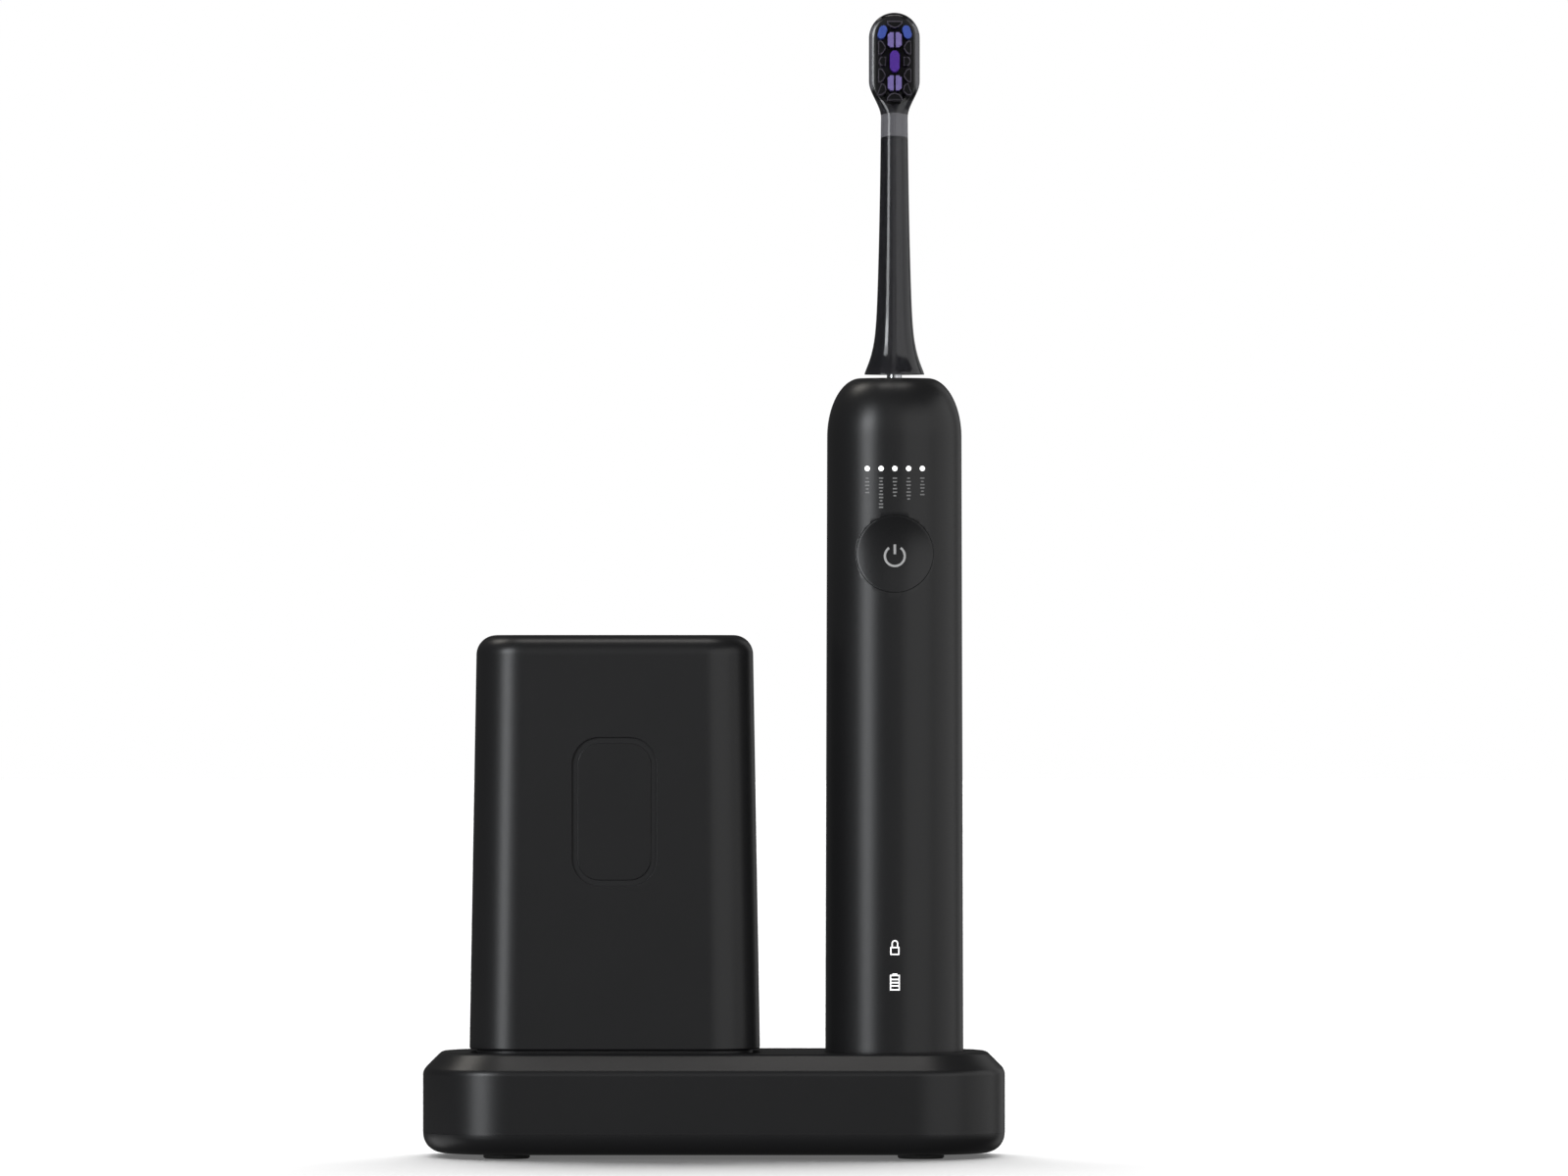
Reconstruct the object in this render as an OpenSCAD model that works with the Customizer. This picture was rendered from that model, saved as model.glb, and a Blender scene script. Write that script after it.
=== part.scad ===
// Sonic toothbrush standing on its charging base, beside a covered box for spare heads.
// Origin: centre of the base's footprint, on the surface it stands on.
// +Z up, -Y to the front, +X towards the brush. Millimetres.

/* [Charger base] */
// Length of the base
base_l = 128; // [120:1:154]
// Depth of the base
base_d = 50; // [48:1:60]
// Height of the base from the feet up
base_h = 23; // [20:0.5:28]
// Corner radius of the base in plan
base_corner_r = 20.5; // [16:0.5:23]
// Width of the chamfer round the top edge
chamfer_w = 4.1; // [2:0.1:5]
// Height of the chamfer round the top edge
chamfer_h = 3.9; // [2:0.1:4.2]
// Radius of the bottom edge
bottom_r = 4.5; // [3:0.1:5]
// Wall of the base shells
base_wall = 2.2; // [1.6:0.1:2.6]
// Depth of the seat that the handle stands in
seat_depth = 1.2; // [0.8:0.1:2]
// Diameter of the charging post
post_d = 9; // [8.4:0.1:10.8]
// Height of the charging post above the seat
post_h = 12; // [10:0.5:15]

/* [Feet] */
// Diameter of a foot
foot_d = 10.2; // [8:0.1:12]
// Height that a foot stands proud
foot_h = 0.9; // [0.6:0.1:1.6]
// Distance between the feet along the base
foot_pitch_x = 90.8; // [76:0.2:96]
// Distance between the feet across the base
foot_pitch_y = 30; // [24:0.5:32]

/* [Handle] */
// Length of the handle
handle_l = 149.4; // [146:0.2:180]
// Diameter at the foot of the handle
handle_d = 30.4; // [30:0.1:36.5]
// Diameter just under the shoulder
shoulder_d = 29.6; // [29:0.1:36]
// Height of the shoulder's curve
shoulder_h = 13; // [10:0.5:16]
// Diameter of the flat on top of the shoulder
crown_d = 14.8; // [12:0.2:18]
// Wall of the handle housing
handle_wall = 1.8; // [1.4:0.1:2]
// Distance from the handle's centre line to the base's centre
brush_x = 39.7; // [36:0.1:44]

/* [Controls] */
// Diameter of the power button
button_d = 17; // [14:0.5:18]
// Height of the button's centre above the foot of the handle
button_h = 110.7; // [100:0.5:114]
// Travel of the button
button_travel = 0.4; // [0.2:0.1:0.5]
// Depth of the button's dish
dish_depth = 1.04; // [0.6:0.02:1.2]
// Number of modes
modes = 5; // [3:1:5]
// Diameter of a mode light
light_d = 1.15; // [0.8:0.05:1.5]
// Distance between mode lights
light_pitch = 3.02; // [2.4:0.02:3.2]
// Height of the mode lights above the foot of the handle
light_h = 129.4; // [126:0.2:132]

/* [Drive] */
// Diameter of the drive shaft
shaft_d = 3.3; // [2.8:0.1:4]
// Length of the shaft that stands out of the handle
shaft_out = 19; // [14:0.5:24]
// Gap between the handle and the brush head
head_gap = 0.8; // [0.5:0.1:1.2]

/* [Brush head] */
// Length of the brush head
head_l = 79.7; // [72:0.1:96]
// Diameter of the neck's flared foot
neck_foot_d = 13.2; // [12.4:0.1:14]
// Width of the bristle end
head_w = 11.2; // [10:0.1:13]
// Thickness of the bristle end
head_t = 4.4; // [4:0.1:6]
// Length of the bristle plate
plate_l = 19.5; // [19:0.1:21]
// Width of the bristle plate
plate_w = 8.8; // [8.4:0.1:9.4]
// Thickness of the bristle plate
plate_t = 2.2; // [1.6:0.1:3]
// Free length of the bristles
bristle_l = 10; // [7:0.5:12]
// Wall of the clear neck
neck_wall = 0.9; // [0.7:0.05:1.1]

/* [Storage box] */
// Distance from the box's centre to the base's centre, to the left
box_x = 21.8; // [18:0.1:25]
// Length of the cover at its rim
box_l = 63.8; // [56:0.2:66]
// Depth of the cover at its rim
box_d = 38; // [36:0.2:40]
// Height of the cover
box_h = 90.8; // [84:0.2:120]
// Corner radius of the cover at its rim
box_corner_r = 11.7; // [9:0.1:14]
// Amount that each side leans in from rim to top
box_lean = 1.45; // [0.5:0.05:2]
// Radius of the cover's top edge
box_top_r = 4.3; // [3:0.1:6]
// Wall of the cover
box_wall = 2; // [1.5:0.1:2.2]
// Width of the grip recess
grip_w = 18.6; // [14:0.2:22]
// Height of the grip recess
grip_l = 32.6; // [26:0.2:38]
// Depth of the grip recess
grip_depth = 0.6; // [0.4:0.1:1.1]
// Height of the grip's centre above the rim
grip_h = 52.2; // [40:0.2:56]

/* [Tray] */
// Depth of the pocket in the base that holds the tray
pocket_depth = 2.6; // [2:0.1:3]
// Thickness of the tray's lip
lip_t = 0.8; // [0.6:0.1:1.4]
// Height of the locating rim inside the cover
locator_h = 3.2; // [2:0.1:5]
// Number of pegs for spare heads
pegs = 3; // [1:1:3]
// Diameter of a peg
peg_d = 3.2; // [2.6:0.1:3.6]
// Height of a peg above the tray's floor
peg_h = 15; // [10:0.5:20]
// Distance between pegs
peg_pitch = 19; // [16:0.5:20]

/* [Inside] */
// Diameter of the battery cell
cell_d = 14; // [12:0.1:14.4]
// Length of the battery cell
cell_l = 50; // [40:0.5:51]
// Width of the main board
board_w = 18; // [16:0.2:18.6]
// Thickness of the main board
board_t = 1; // [0.8:0.1:1.2]
// Diameter of the motor
motor_d = 13.8; // [12:0.1:14]
// Length of the motor
motor_l = 48; // [44:0.5:50]

/* [Fits] */
// Gap between a lift-off piece and its seat
lift_gap = 0.3; // [0.2:0.05:0.5]
// Gap between pieces fixed to each other
fixed_gap = 0.1; // [0.05:0.05:0.2]
// Radial gap of a bearing
run_gap = 0.05; // [0.02:0.01:0.1]
// Gap round the button
button_gap = 0.2; // [0.15:0.05:0.3]

/* [Hidden] */

$fn = 64;
hull_fn = 32;
eps = 0.01;

// Base
ceiling_z = base_h - 4.4;
split_z = foot_h + bottom_r;
ledge_z = split_z + 3;
ledge_w = 1.5;
floor_t = 2;
seat_z = base_h - seat_depth;
post_bore_r = post_d / 2 - 1.2;
post_roof = 1.2;
post_round = 0.9;
post_flange_r = post_d / 2 + 2.5;
post_flange_t = 1.5;
coil_rod_r = 1.6;
coil_l = 10;
screw_x = 34;
screw_y = base_d / 2 - 8;
screw_r = 1.2;
thread_gap = 0.03;
screw_head_r = 2.4;
screw_head_t = 1.2;
boss_r = 3;
board_z = ledge_z + 0.3;
charger_board_l = 50;
charger_board_d = 22;
charger_board_t = 1.2;
charger_board_back = base_d / 2 - base_wall - 2.5;
socket_w = 8.9;
socket_t = 3.2;
socket_l = 7.3;
socket_z = board_z + charger_board_t + socket_t / 2;

// Box and tray
rim_z = base_h + lip_t;
pocket_z = base_h - pocket_depth;
pocket_l = box_l - 5.8;
pocket_d = box_d - 6;
pocket_r = box_corner_r - 3;
lip_l = box_l - 3.2;
lip_d = box_d - 3.2;
locator_l = box_l - 2 * (box_wall + lift_gap);
locator_d = box_d - 2 * (box_wall + lift_gap);
locator_r = box_corner_r - box_wall - lift_gap;
locator_wall = 1.6;
grip_corner_r = 6;
tray_floor_z = rim_z;

// Handle, by height above its foot
handle_r = handle_d / 2;
shoulder_r = shoulder_d / 2;
crown_r = crown_d / 2;
shoulder_z = handle_l - shoulder_h;
roof_t = 2.6;
shaft_r = shaft_d / 2;
crown_bore_r = 4;
cap_flange_t = 3;
cap_skirt_h = 8.2;
cap_skirt_wall = 2.2;
socket_depth = post_h + 0.6;
cup_wall = 1.2;
cup_r = post_d / 2 + lift_gap + cup_wall;
seal_w = 1.8;
seal_bite = 1;
seal_h = 4.8;
rx_coil_w = 2;
rx_coil_h = 9.5;
rx_core_w = 0.9;
board_foot_h = post_h + 3.6;
board_back_y = -7.5;
board_front_y = board_back_y - board_t;
board_top_h = shoulder_z - 2.2;
chassis_foot_h = board_foot_h + 0.8;
chassis_r = shoulder_r - handle_wall - 0.5;
cell_y = 2;
cell_h = chassis_foot_h + 2;
tab_t = 0.3;
tab_w = 4;
shelf_t = 4;
motor_h = cell_h + cell_l + tab_t + shelf_t + 4;
motor_r = motor_d / 2;
motor_wall = 0.6;
motor_top_h = motor_h + motor_l;
cushion_w = 1.6;
cushion_l = 6;
cushion_h = motor_top_h - 12;
chassis_top_h = motor_top_h + 5;
bearing_l = 4;
bearing_r = motor_r - motor_wall;
core_w = 1.4;
coil_w = 1.2;
stator_l = 26;
stator_h = motor_h + (motor_l - stator_l) / 2;
rotor_r = bearing_r - core_w - coil_w - 0.4;
rotor_l = stator_l - 6;
shaft_foot_h = motor_h + 1.5;
shaft_top_h = handle_l + shaft_out;
flat_y = 0.45;
flat_l = 12;

// Button and lights
button_r = button_d / 2;
cap_r = button_r - button_gap;
cap_back_y = -shoulder_r + handle_wall + 1.5;
dish_r_down = 34.5;
dish_r_across = 24;
dish_front_y = -(housing_r(button_h) - dish_depth);
plunger_r = 1.5;
switch_w = 6;
switch_front_y = cap_back_y + button_travel + 0.2;
gasket_in_r = 5.2;
gasket_out_r = sqrt(pow(shoulder_r - handle_wall, 2) - pow(switch_front_y, 2)) - 0.2;
led_t = 0.6;
icon_h = 20.65;
icon_l = 13;
icon_w = 5;

// Brush head, by height above the foot of the neck
neck_foot_h = handle_l + head_gap;
head_r = head_w / 2;
head_top = head_l;
head_low = head_top - 2 * head_r - 8.7;
core_top = head_low - 7.2;
core_bore_r = shaft_r + 0.1;
plate_z = head_top - plate_l / 2 - 0.85;
plate_front_y = -head_t / 2 - 0.15;
clip_h = 6;
clip_l = 4;
clip_w = 0.4;

// Outer radius of the handle at height h
function housing_r(h) = h <= shoulder_z
  ? handle_r + (shoulder_r - handle_r) * h / shoulder_z
  : crown_r + (shoulder_r - crown_r) * sqrt(max(0, 1 - pow((h - shoulder_z) / shoulder_h, 2)));

// Inner radius of the housing below the shoulder at height h
function inside_r(h) = handle_r - handle_wall + (shoulder_r - handle_r) * h / (shoulder_z - 1);

// Outer radius of the neck at height t: a flared foot that settles into a slim stem
function neck_r(t) = 2.6 + (neck_foot_d / 2 - 4.5) * exp(-pow(t / 4.6, 1.3)) + 1.9 * exp(-t / 34);

module at_base_z(z) { translate([0, 0, z]) children(); }
module at_brush(h = 0) { translate([brush_x, 0, seat_z + h]) children(); }
module at_head(t = 0) { at_brush(neck_foot_h + t) children(); }
module at_box(z) { translate([-box_x, 0, z]) children(); }

// A tube or, with no bore, a rod
module tube(r, h, bore = 0) {
  difference() {
    cylinder(r = r, h = h);
    if (bore > 0) translate([0, 0, -1]) cylinder(r = bore, h = h + 2);
  }
}

// A rod that points to the front
module rod_y(r, front, back) {
  translate([0, back, 0]) rotate([90, 0, 0]) cylinder(r = r, h = back - front);
}

// A box centred in x between two depths
module slab_y(w, front, back, h) {
  translate([-w / 2, front, 0]) cube([w, back - front, h]);
}

// A rounded rectangle plate
module plate(l, d, r, h) {
  hull() for (x = [-1, 1], y = [-1, 1])
    translate([x * (l / 2 - r), y * (d / 2 - r), 0]) cylinder(r = r, h = h, $fn = hull_fn);
}

// A block stacked from rounded plates, each [height, inset]
module stack(l, d, r, layers) {
  hull() for (p = layers)
    translate([0, 0, p[0]]) plate(l - 2 * p[1], d - 2 * p[1], r - p[1], eps);
}

// A stadium block that stands up and faces the front
module upright(w, l, r, front, back) {
  hull() for (x = [-1, 1], z = [-1, 1])
    translate([x * (w / 2 - r), back, z * (l / 2 - r)])
      rotate([90, 0, 0]) cylinder(r = r, h = back - front, $fn = hull_fn);
}

// Charger base

module base_outer() {
  round_layers = [for (a = [0 : 22.5 : 90]) [foot_h + bottom_r * (1 - cos(a)), bottom_r * (1 - sin(a))]];
  top_layers = [[base_h - chamfer_h, 0], [base_h - eps, chamfer_w]];
  stack(base_l, base_d, base_corner_r, concat(round_layers, top_layers));
}

module screw_places() {
  for (x = [-screw_x, screw_x], y = [-screw_y, screw_y]) translate([x, y, 0]) children();
}

module base_housing() color([0.13, 0.13, 0.13]) {
  difference() {
    base_outer();
    at_base_z(-1) plate(base_l + 2, base_d + 2, base_corner_r, split_z + 1);
    cavity_in = base_wall + ledge_w;
    at_base_z(split_z - 1)
      plate(base_l - 2 * base_wall, base_d - 2 * base_wall, base_corner_r - base_wall, ledge_z - split_z + 1);
    at_base_z(split_z)
      plate(base_l - 2 * cavity_in, base_d - 2 * cavity_in, base_corner_r - cavity_in, ceiling_z - split_z);
    at_brush() cylinder(r = handle_r + lift_gap, h = seat_depth + 1);
    at_box(pocket_z) plate(pocket_l, pocket_d, pocket_r, pocket_depth + 1);
    translate([brush_x, 0, ceiling_z - 1]) cylinder(r = post_d / 2 + fixed_gap, h = seat_z - ceiling_z + 2);
    translate([0, 0, socket_z]) socket_shape(socket_w + 0.6, socket_t + 0.6, base_d / 2 - 6, base_d / 2 + 1);
  }
  screw_places() translate([0, 0, foot_h + floor_t])
    tube(boss_r, ceiling_z - foot_h - floor_t + eps, screw_r + thread_gap);
}

// A thimble that comes up through the seat, held by a flange under the housing's top
module charging_post() color([0.12, 0.12, 0.12]) {
  foot = ceiling_z - seat_z;
  post_r = post_d / 2;
  roof = post_h - post_roof;
  arc = [for (a = [0 : 15 : 90]) [post_r - post_round * (1 - cos(a)), post_h - post_round * (1 - sin(a))]];
  at_brush() rotate_extrude() polygon(concat(
    [[post_bore_r, foot - post_flange_t], [post_flange_r, foot - post_flange_t],
      [post_flange_r, foot], [post_r, foot]],
    arc, [[0, post_h], [0, roof], [post_bore_r, roof]]
  ));
}

module base_cover() color([0.12, 0.12, 0.12]) {
  difference() {
    union() {
      intersection() {
        base_outer();
        at_base_z(-1) plate(base_l + 2, base_d + 2, base_corner_r, split_z + 1 - fixed_gap);
      }
      lip_in = base_wall + fixed_gap;
      at_base_z(foot_h + floor_t)
        plate(base_l - 2 * lip_in, base_d - 2 * lip_in, base_corner_r - lip_in,
          ledge_z - foot_h - floor_t - 1);
    }
    hollow_in = base_wall + ledge_w;
    at_base_z(foot_h + floor_t)
      plate(base_l - 2 * hollow_in, base_d - 2 * hollow_in, base_corner_r - hollow_in, base_h);
    foot_places() at_base_z(-1) cylinder(r = foot_d / 2 + fixed_gap, h = foot_h + 1.8);
    screw_places() at_base_z(0) {
      cylinder(r = screw_head_r + fixed_gap, h = foot_h + screw_head_t);
      cylinder(r = screw_r + fixed_gap, h = foot_h + floor_t + 1);
    }
  }
}

module base_gasket() color([0.35, 0.35, 0.36]) {
  out_in = base_wall + fixed_gap;
  in_in = base_wall + ledge_w;
  at_base_z(ledge_z - 1) difference() {
    plate(base_l - 2 * out_in, base_d - 2 * out_in, base_corner_r - out_in, 1);
    at_base_z(-1) plate(base_l - 2 * in_in, base_d - 2 * in_in, base_corner_r - in_in, 3);
  }
}

module foot_places() {
  for (x = [-1, 1], y = [-1, 1]) translate([x * foot_pitch_x / 2, y * foot_pitch_y / 2, 0]) children();
}

module base_feet() color([0.16, 0.16, 0.16]) {
  foot_places() rotate_extrude()
    polygon([[0, 0], [foot_d / 2 - 0.3, 0], [foot_d / 2, 0.3],
      [foot_d / 2, foot_h + 0.8], [0, foot_h + 0.8]]);
}

module base_screws() color([0.62, 0.62, 0.64]) {
  screw_places() difference() {
    union() {
      at_base_z(foot_h + 0.1) cylinder(r = screw_head_r, h = screw_head_t - 0.1);
      at_base_z(foot_h + 1) cylinder(r = screw_r, h = ceiling_z - foot_h - 4);
    }
    at_base_z(foot_h) cylinder(r = 0.9, h = 0.8, $fn = 6);
  }
}

module transmitter_core() color([0.2, 0.19, 0.19]) {
  at_brush(post_h - post_roof - 2 * coil_l) cylinder(r = coil_rod_r, h = 2 * coil_l - 0.2);
}

module transmitter_coil() color([0.72, 0.42, 0.2]) {
  at_brush(post_h - post_roof - coil_l - 0.6) tube(post_bore_r - 0.15, coil_l, coil_rod_r + 0.05);
}

module charger_board() color([0.1, 0.3, 0.18]) {
  chip_z = board_z + charger_board_t;
  difference() {
    translate([-charger_board_l / 2, charger_board_back - charger_board_d, board_z])
      cube([charger_board_l, charger_board_d, charger_board_t]);
    for (x = [-1, 1]) translate([x * (charger_board_l / 2 - 3), charger_board_back - charger_board_d + 3, 0])
      cylinder(r = 1.3, h = base_h);
  }
  translate([-12, charger_board_back - 16, chip_z - eps]) cube([6, 6, 1.2]);
  translate([2, charger_board_back - 17, chip_z - eps]) cube([7, 7, 3]);
  translate([15, charger_board_back - 12, chip_z - eps]) cylinder(r = 2.5, h = 5);
}

// The inlet's outline is a rounded slot
module socket_shape(w, t, front, back) {
  r = t / 2 - 0.1;
  hull() for (x = [-1, 1], z = [-1, 1])
    translate([x * (w / 2 - r), back, z * (t / 2 - r)])
      rotate([90, 0, 0]) cylinder(r = r, h = back - front, $fn = hull_fn);
}

module usb_socket() color([0.7, 0.7, 0.72]) {
  back = base_d / 2 - 0.2;
  front = back - socket_l;
  translate([0, 0, socket_z]) difference() {
    socket_shape(socket_w, socket_t, front, back);
    socket_shape(socket_w - 0.6, socket_t - 0.6, front + 0.8, back + 1);
  }
  translate([0, 0, socket_z - 0.35]) slab_y(socket_w - 2.4, front + 0.5, back - 1, 0.7);
}

// Spare-head box

module head_tray() color([0.11, 0.11, 0.11]) {
  at_box(pocket_z + fixed_gap)
    plate(pocket_l - 2 * lift_gap, pocket_d - 2 * lift_gap, pocket_r - lift_gap, pocket_depth);
  at_box(base_h) plate(lip_l, lip_d, box_corner_r - 1.6, lip_t);
  at_box(rim_z - eps) difference() {
    plate(locator_l, locator_d, locator_r, locator_h);
    at_base_z(-1) plate(locator_l - 2 * locator_wall, locator_d - 2 * locator_wall,
      locator_r - locator_wall, locator_h + 2);
  }
  for (i = [0 : pegs - 1]) at_box(tray_floor_z - eps) translate([(i - (pegs - 1) / 2) * peg_pitch, 0, 0])
    rotate_extrude() polygon([
      [0, 0], [peg_d / 2, 0], [peg_d / 2, peg_h - 1],
      [peg_d / 2 - 0.6, peg_h], [0, peg_h]
    ]);
}

module box_block(inset, low, high, top_r) {
  lean = box_lean / (box_h - box_top_r);
  arc = [for (a = [0 : 22.5 : 90]) [high - top_r + top_r * sin(a), top_r * (1 - cos(a))]];
  layers = concat([[low, 0]], arc);
  stack(box_l - 2 * inset, box_d - 2 * inset, box_corner_r - inset,
    [for (p = layers) [p[0], p[1] + max(0, p[0]) * lean]]);
}

module head_cover() color([0.13, 0.13, 0.13]) {
  grip_side = box_lean * grip_h / box_h;
  at_box(rim_z) difference() {
    box_block(0, 0, box_h, box_top_r);
    box_block(box_wall, -1, box_h - box_wall, box_top_r - box_wall);
    for (side = [0, 180]) rotate([0, 0, side]) translate([0, 0, grip_h])
      upright(grip_w, grip_l, grip_corner_r, -box_d, -box_d / 2 + grip_side + grip_depth);
  }
}

// Handle

module housing_solid(inset, top) {
  arc = [for (a = [0 : 7.5 : 90]) shoulder_z + (shoulder_h - top) * sin(a)];
  rim = [for (h = arc) [max(eps, housing_r(min(h, handle_l)) - inset), h]];
  rotate_extrude() polygon(concat([[0, 0], [handle_r - inset, 0]], rim, [[0, handle_l - top]]));
}

module light_places() {
  for (i = [0 : modes - 1]) translate([(i - (modes - 1) / 2) * light_pitch, 0, light_h]) children();
}

module handle_housing() color([0.14, 0.14, 0.14]) {
  at_brush() difference() {
    housing_solid(0, 0);
    translate([0, 0, -eps]) housing_inside();
    cylinder(r = crown_bore_r, h = handle_l + 1);
    translate([0, 0, button_h]) rod_y(button_r, -handle_r - 1, 0);
    light_places() rod_y(light_d / 2, -handle_r - 1, -6);
  }
}

// The space inside the housing: straight to the shoulder, then a smaller copy of the shoulder's curve
module housing_inside() {
  top_r = crown_r - 0.4;
  side_r = shoulder_r - handle_wall;
  arc = [for (a = [0 : 10 : 90])
    [top_r + (side_r - top_r) * cos(a), shoulder_z - 1 + (shoulder_h + 1 - roof_t) * sin(a)]];
  rotate_extrude() polygon(concat([[0, 0], [handle_r - handle_wall, 0]], arc, [[0, handle_l - roof_t]]));
}

module end_cap() color([0.15, 0.15, 0.15]) {
  flange_r = inside_r(cap_flange_t) - fixed_gap;
  skirt_r = inside_r(cap_skirt_h) - fixed_gap;
  groove_r = skirt_r - seal_bite;
  at_brush() difference() {
    rotate_extrude() polygon([
      [0, 0], [flange_r, 0], [flange_r, cap_flange_t], [skirt_r, cap_flange_t],
      [skirt_r, seal_h], [groove_r, seal_h], [groove_r, seal_h + seal_w], [skirt_r, seal_h + seal_w],
      [skirt_r, cap_skirt_h], [skirt_r - cap_skirt_wall, cap_skirt_h],
      [skirt_r - cap_skirt_wall, cap_flange_t],
      [cup_r, cap_flange_t], [cup_r, socket_depth + cup_wall], [0, socket_depth + cup_wall]
    ]);
    translate([0, 0, -1]) cylinder(r = post_d / 2 + lift_gap, h = socket_depth + 1);
  }
}

module end_cap_seal() color([0.45, 0.16, 0.12]) {
  outer = inside_r(seal_h + seal_w) - fixed_gap / 2;
  at_brush(seal_h) tube(outer, seal_w, inside_r(cap_skirt_h) - fixed_gap - seal_bite);
}

module receiver_coil() color([0.72, 0.42, 0.2]) {
  at_brush(cap_flange_t + 0.4) tube(cup_r + 0.1 + rx_coil_w, rx_coil_h, cup_r + 0.1);
}

module receiver_ferrite() color([0.22, 0.21, 0.21]) {
  inner = cup_r + rx_coil_w + 0.2;
  at_brush(cap_flange_t + 0.2) tube(inner + rx_core_w, rx_coil_h, inner);
}

module chassis() color([0.75, 0.75, 0.72]) {
  at_brush() difference() {
    intersection() {
      translate([0, 0, chassis_foot_h]) cylinder(r = chassis_r, h = chassis_top_h - chassis_foot_h);
      slab_y(2 * chassis_r, board_back_y, chassis_r, handle_l);
    }
    translate([0, cell_y, cell_h - 0.2 - tab_t]) cylinder(r = cell_d / 2 + 0.2, h = cell_l + 2 * tab_t + 0.4);
    translate([0, 0, cell_h - 0.2 - tab_t])
      slab_y(cell_d + 0.4, -chassis_r, cell_y, cell_l + 2 * tab_t + 0.4);
    translate([0, 0, motor_h - 0.2]) cylinder(r = motor_r + 0.2, h = motor_l + 0.4);
    translate([0, 0, motor_h - 0.2]) slab_y(motor_d + 0.4, -chassis_r, 0, motor_l + 0.4);
    translate([0, 0, cushion_h - 0.1]) cylinder(r = motor_r + cushion_w + 0.1, h = cushion_l + 0.2);
    cylinder(r = shaft_r + 0.8, h = handle_l);
    board_screw_places() rod_y(0.7, -chassis_r, 0);
  }
}

module battery_cell() color([0.15, 0.35, 0.6]) {
  at_brush(cell_h) translate([0, cell_y, 0]) {
    cylinder(r = cell_d / 2, h = cell_l - 1);
    translate([0, 0, cell_l - 1 - eps]) cylinder(r = 2.7, h = 1 + eps);
  }
}

module battery_tabs() color([0.78, 0.77, 0.72]) {
  for (h = [cell_h - tab_t, cell_h + cell_l]) at_brush(h)
    slab_y(tab_w, board_back_y + 0.1, cell_y + 2.5, tab_t);
}

module board_screw_places() {
  for (h = [cell_h + 6, motor_h - 4], x = [-1, 1]) translate([x * (board_w / 2 - 1), 0, h]) children();
}

module main_board() color([0.1, 0.3, 0.18]) {
  at_brush() difference() {
    translate([0, 0, board_foot_h]) slab_y(board_w, board_front_y, board_back_y, board_top_h - board_foot_h);
    board_screw_places() rod_y(0.8, -chassis_r, 0);
  }
}

module board_components() color([0.17, 0.17, 0.18]) {
  front = board_front_y - 0.9;
  parts = [[-3, 62, 5, 5], [4, 60, 3, 4], [-4, 74, 3, 3], [3, 76, 6, 6],
    [0, 88, 4, 3], [-4, 98, 3, 2], [4, 100, 2, 3]];
  for (p = parts) at_brush(p[1] - p[3] / 2) translate([p[0], 0, 0]) slab_y(p[2], front, board_front_y, p[3]);
}

module board_screws() color([0.66, 0.66, 0.68]) {
  at_brush() board_screw_places() {
    rod_y(1.3, board_front_y - 0.7, board_front_y);
    rod_y(0.65, board_front_y - eps, board_back_y + 4);
  }
}

module mode_leds() color([0.95, 0.95, 0.85]) {
  at_brush() light_places() translate([0, 0, -0.8]) slab_y(1, board_front_y - led_t, board_front_y, 1.6);
  for (h = [icon_h - 3.75, icon_h + 3.75])
    at_brush(h - 0.8) slab_y(1, board_front_y - led_t, board_front_y, 1.6);
}

module mode_light_pins() color([0.92, 0.92, 0.92]) {
  pin_back = board_front_y - led_t - 0.2;
  at_brush() {
    intersection() {
      light_places() rod_y(light_d / 2, -handle_r - 1, pin_back);
      housing_solid(0, 0);
    }
    pin_w = (modes - 1) * light_pitch + light_d;
    translate([0, 0, light_h - 1]) slab_y(pin_w, pin_back - 0.6, pin_back, 2);
  }
}

module icon_light_guide() color([0.88, 0.88, 0.88]) {
  back = board_front_y - led_t - 0.2;
  front = -sqrt(pow(shoulder_r - handle_wall, 2) - pow(icon_w / 2, 2)) + 0.1;
  at_brush(icon_h - icon_l / 2) slab_y(icon_w, front, back, icon_l);
}

module tact_switch() color([0.2, 0.2, 0.2]) {
  at_brush(button_h) difference() {
    translate([0, 0, -switch_w / 2]) slab_y(switch_w, switch_front_y, board_front_y, switch_w);
    rod_y(plunger_r + run_gap, -handle_r, board_front_y - 0.4);
  }
}

module button_gasket() color([0.4, 0.4, 0.42]) {
  at_brush(button_h) difference() {
    rod_y(gasket_out_r, switch_front_y, board_front_y);
    rod_y(gasket_in_r, -handle_r, 0);
  }
}

module motor_case() color([0.7, 0.7, 0.72]) {
  at_brush(motor_h) tube(motor_r, motor_l, bearing_r);
}

module stator_core() color([0.4, 0.4, 0.42]) {
  at_brush(stator_h) tube(bearing_r - 0.05, stator_l, bearing_r - core_w);
}

module stator_coil() color([0.72, 0.42, 0.2]) {
  at_brush(stator_h + 1) tube(bearing_r - core_w - 0.05, stator_l - 2, bearing_r - core_w - coil_w);
}

module bearing(h) {
  at_brush(h) tube(bearing_r - 0.05, bearing_l, shaft_r + run_gap);
}

module front_bearing() color([0.72, 0.6, 0.35]) bearing(motor_top_h - bearing_l - 1);
module rear_bearing() color([0.72, 0.6, 0.35]) bearing(motor_h + 2);

module motor_cushion() color([0.2, 0.2, 0.2]) {
  at_brush(cushion_h) difference() {
    tube(motor_r + cushion_w, cushion_l, motor_r + 0.02);
    slab_y(4 * motor_r, -2 * motor_r, board_back_y + 0.2, cushion_l);
  }
}

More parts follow.
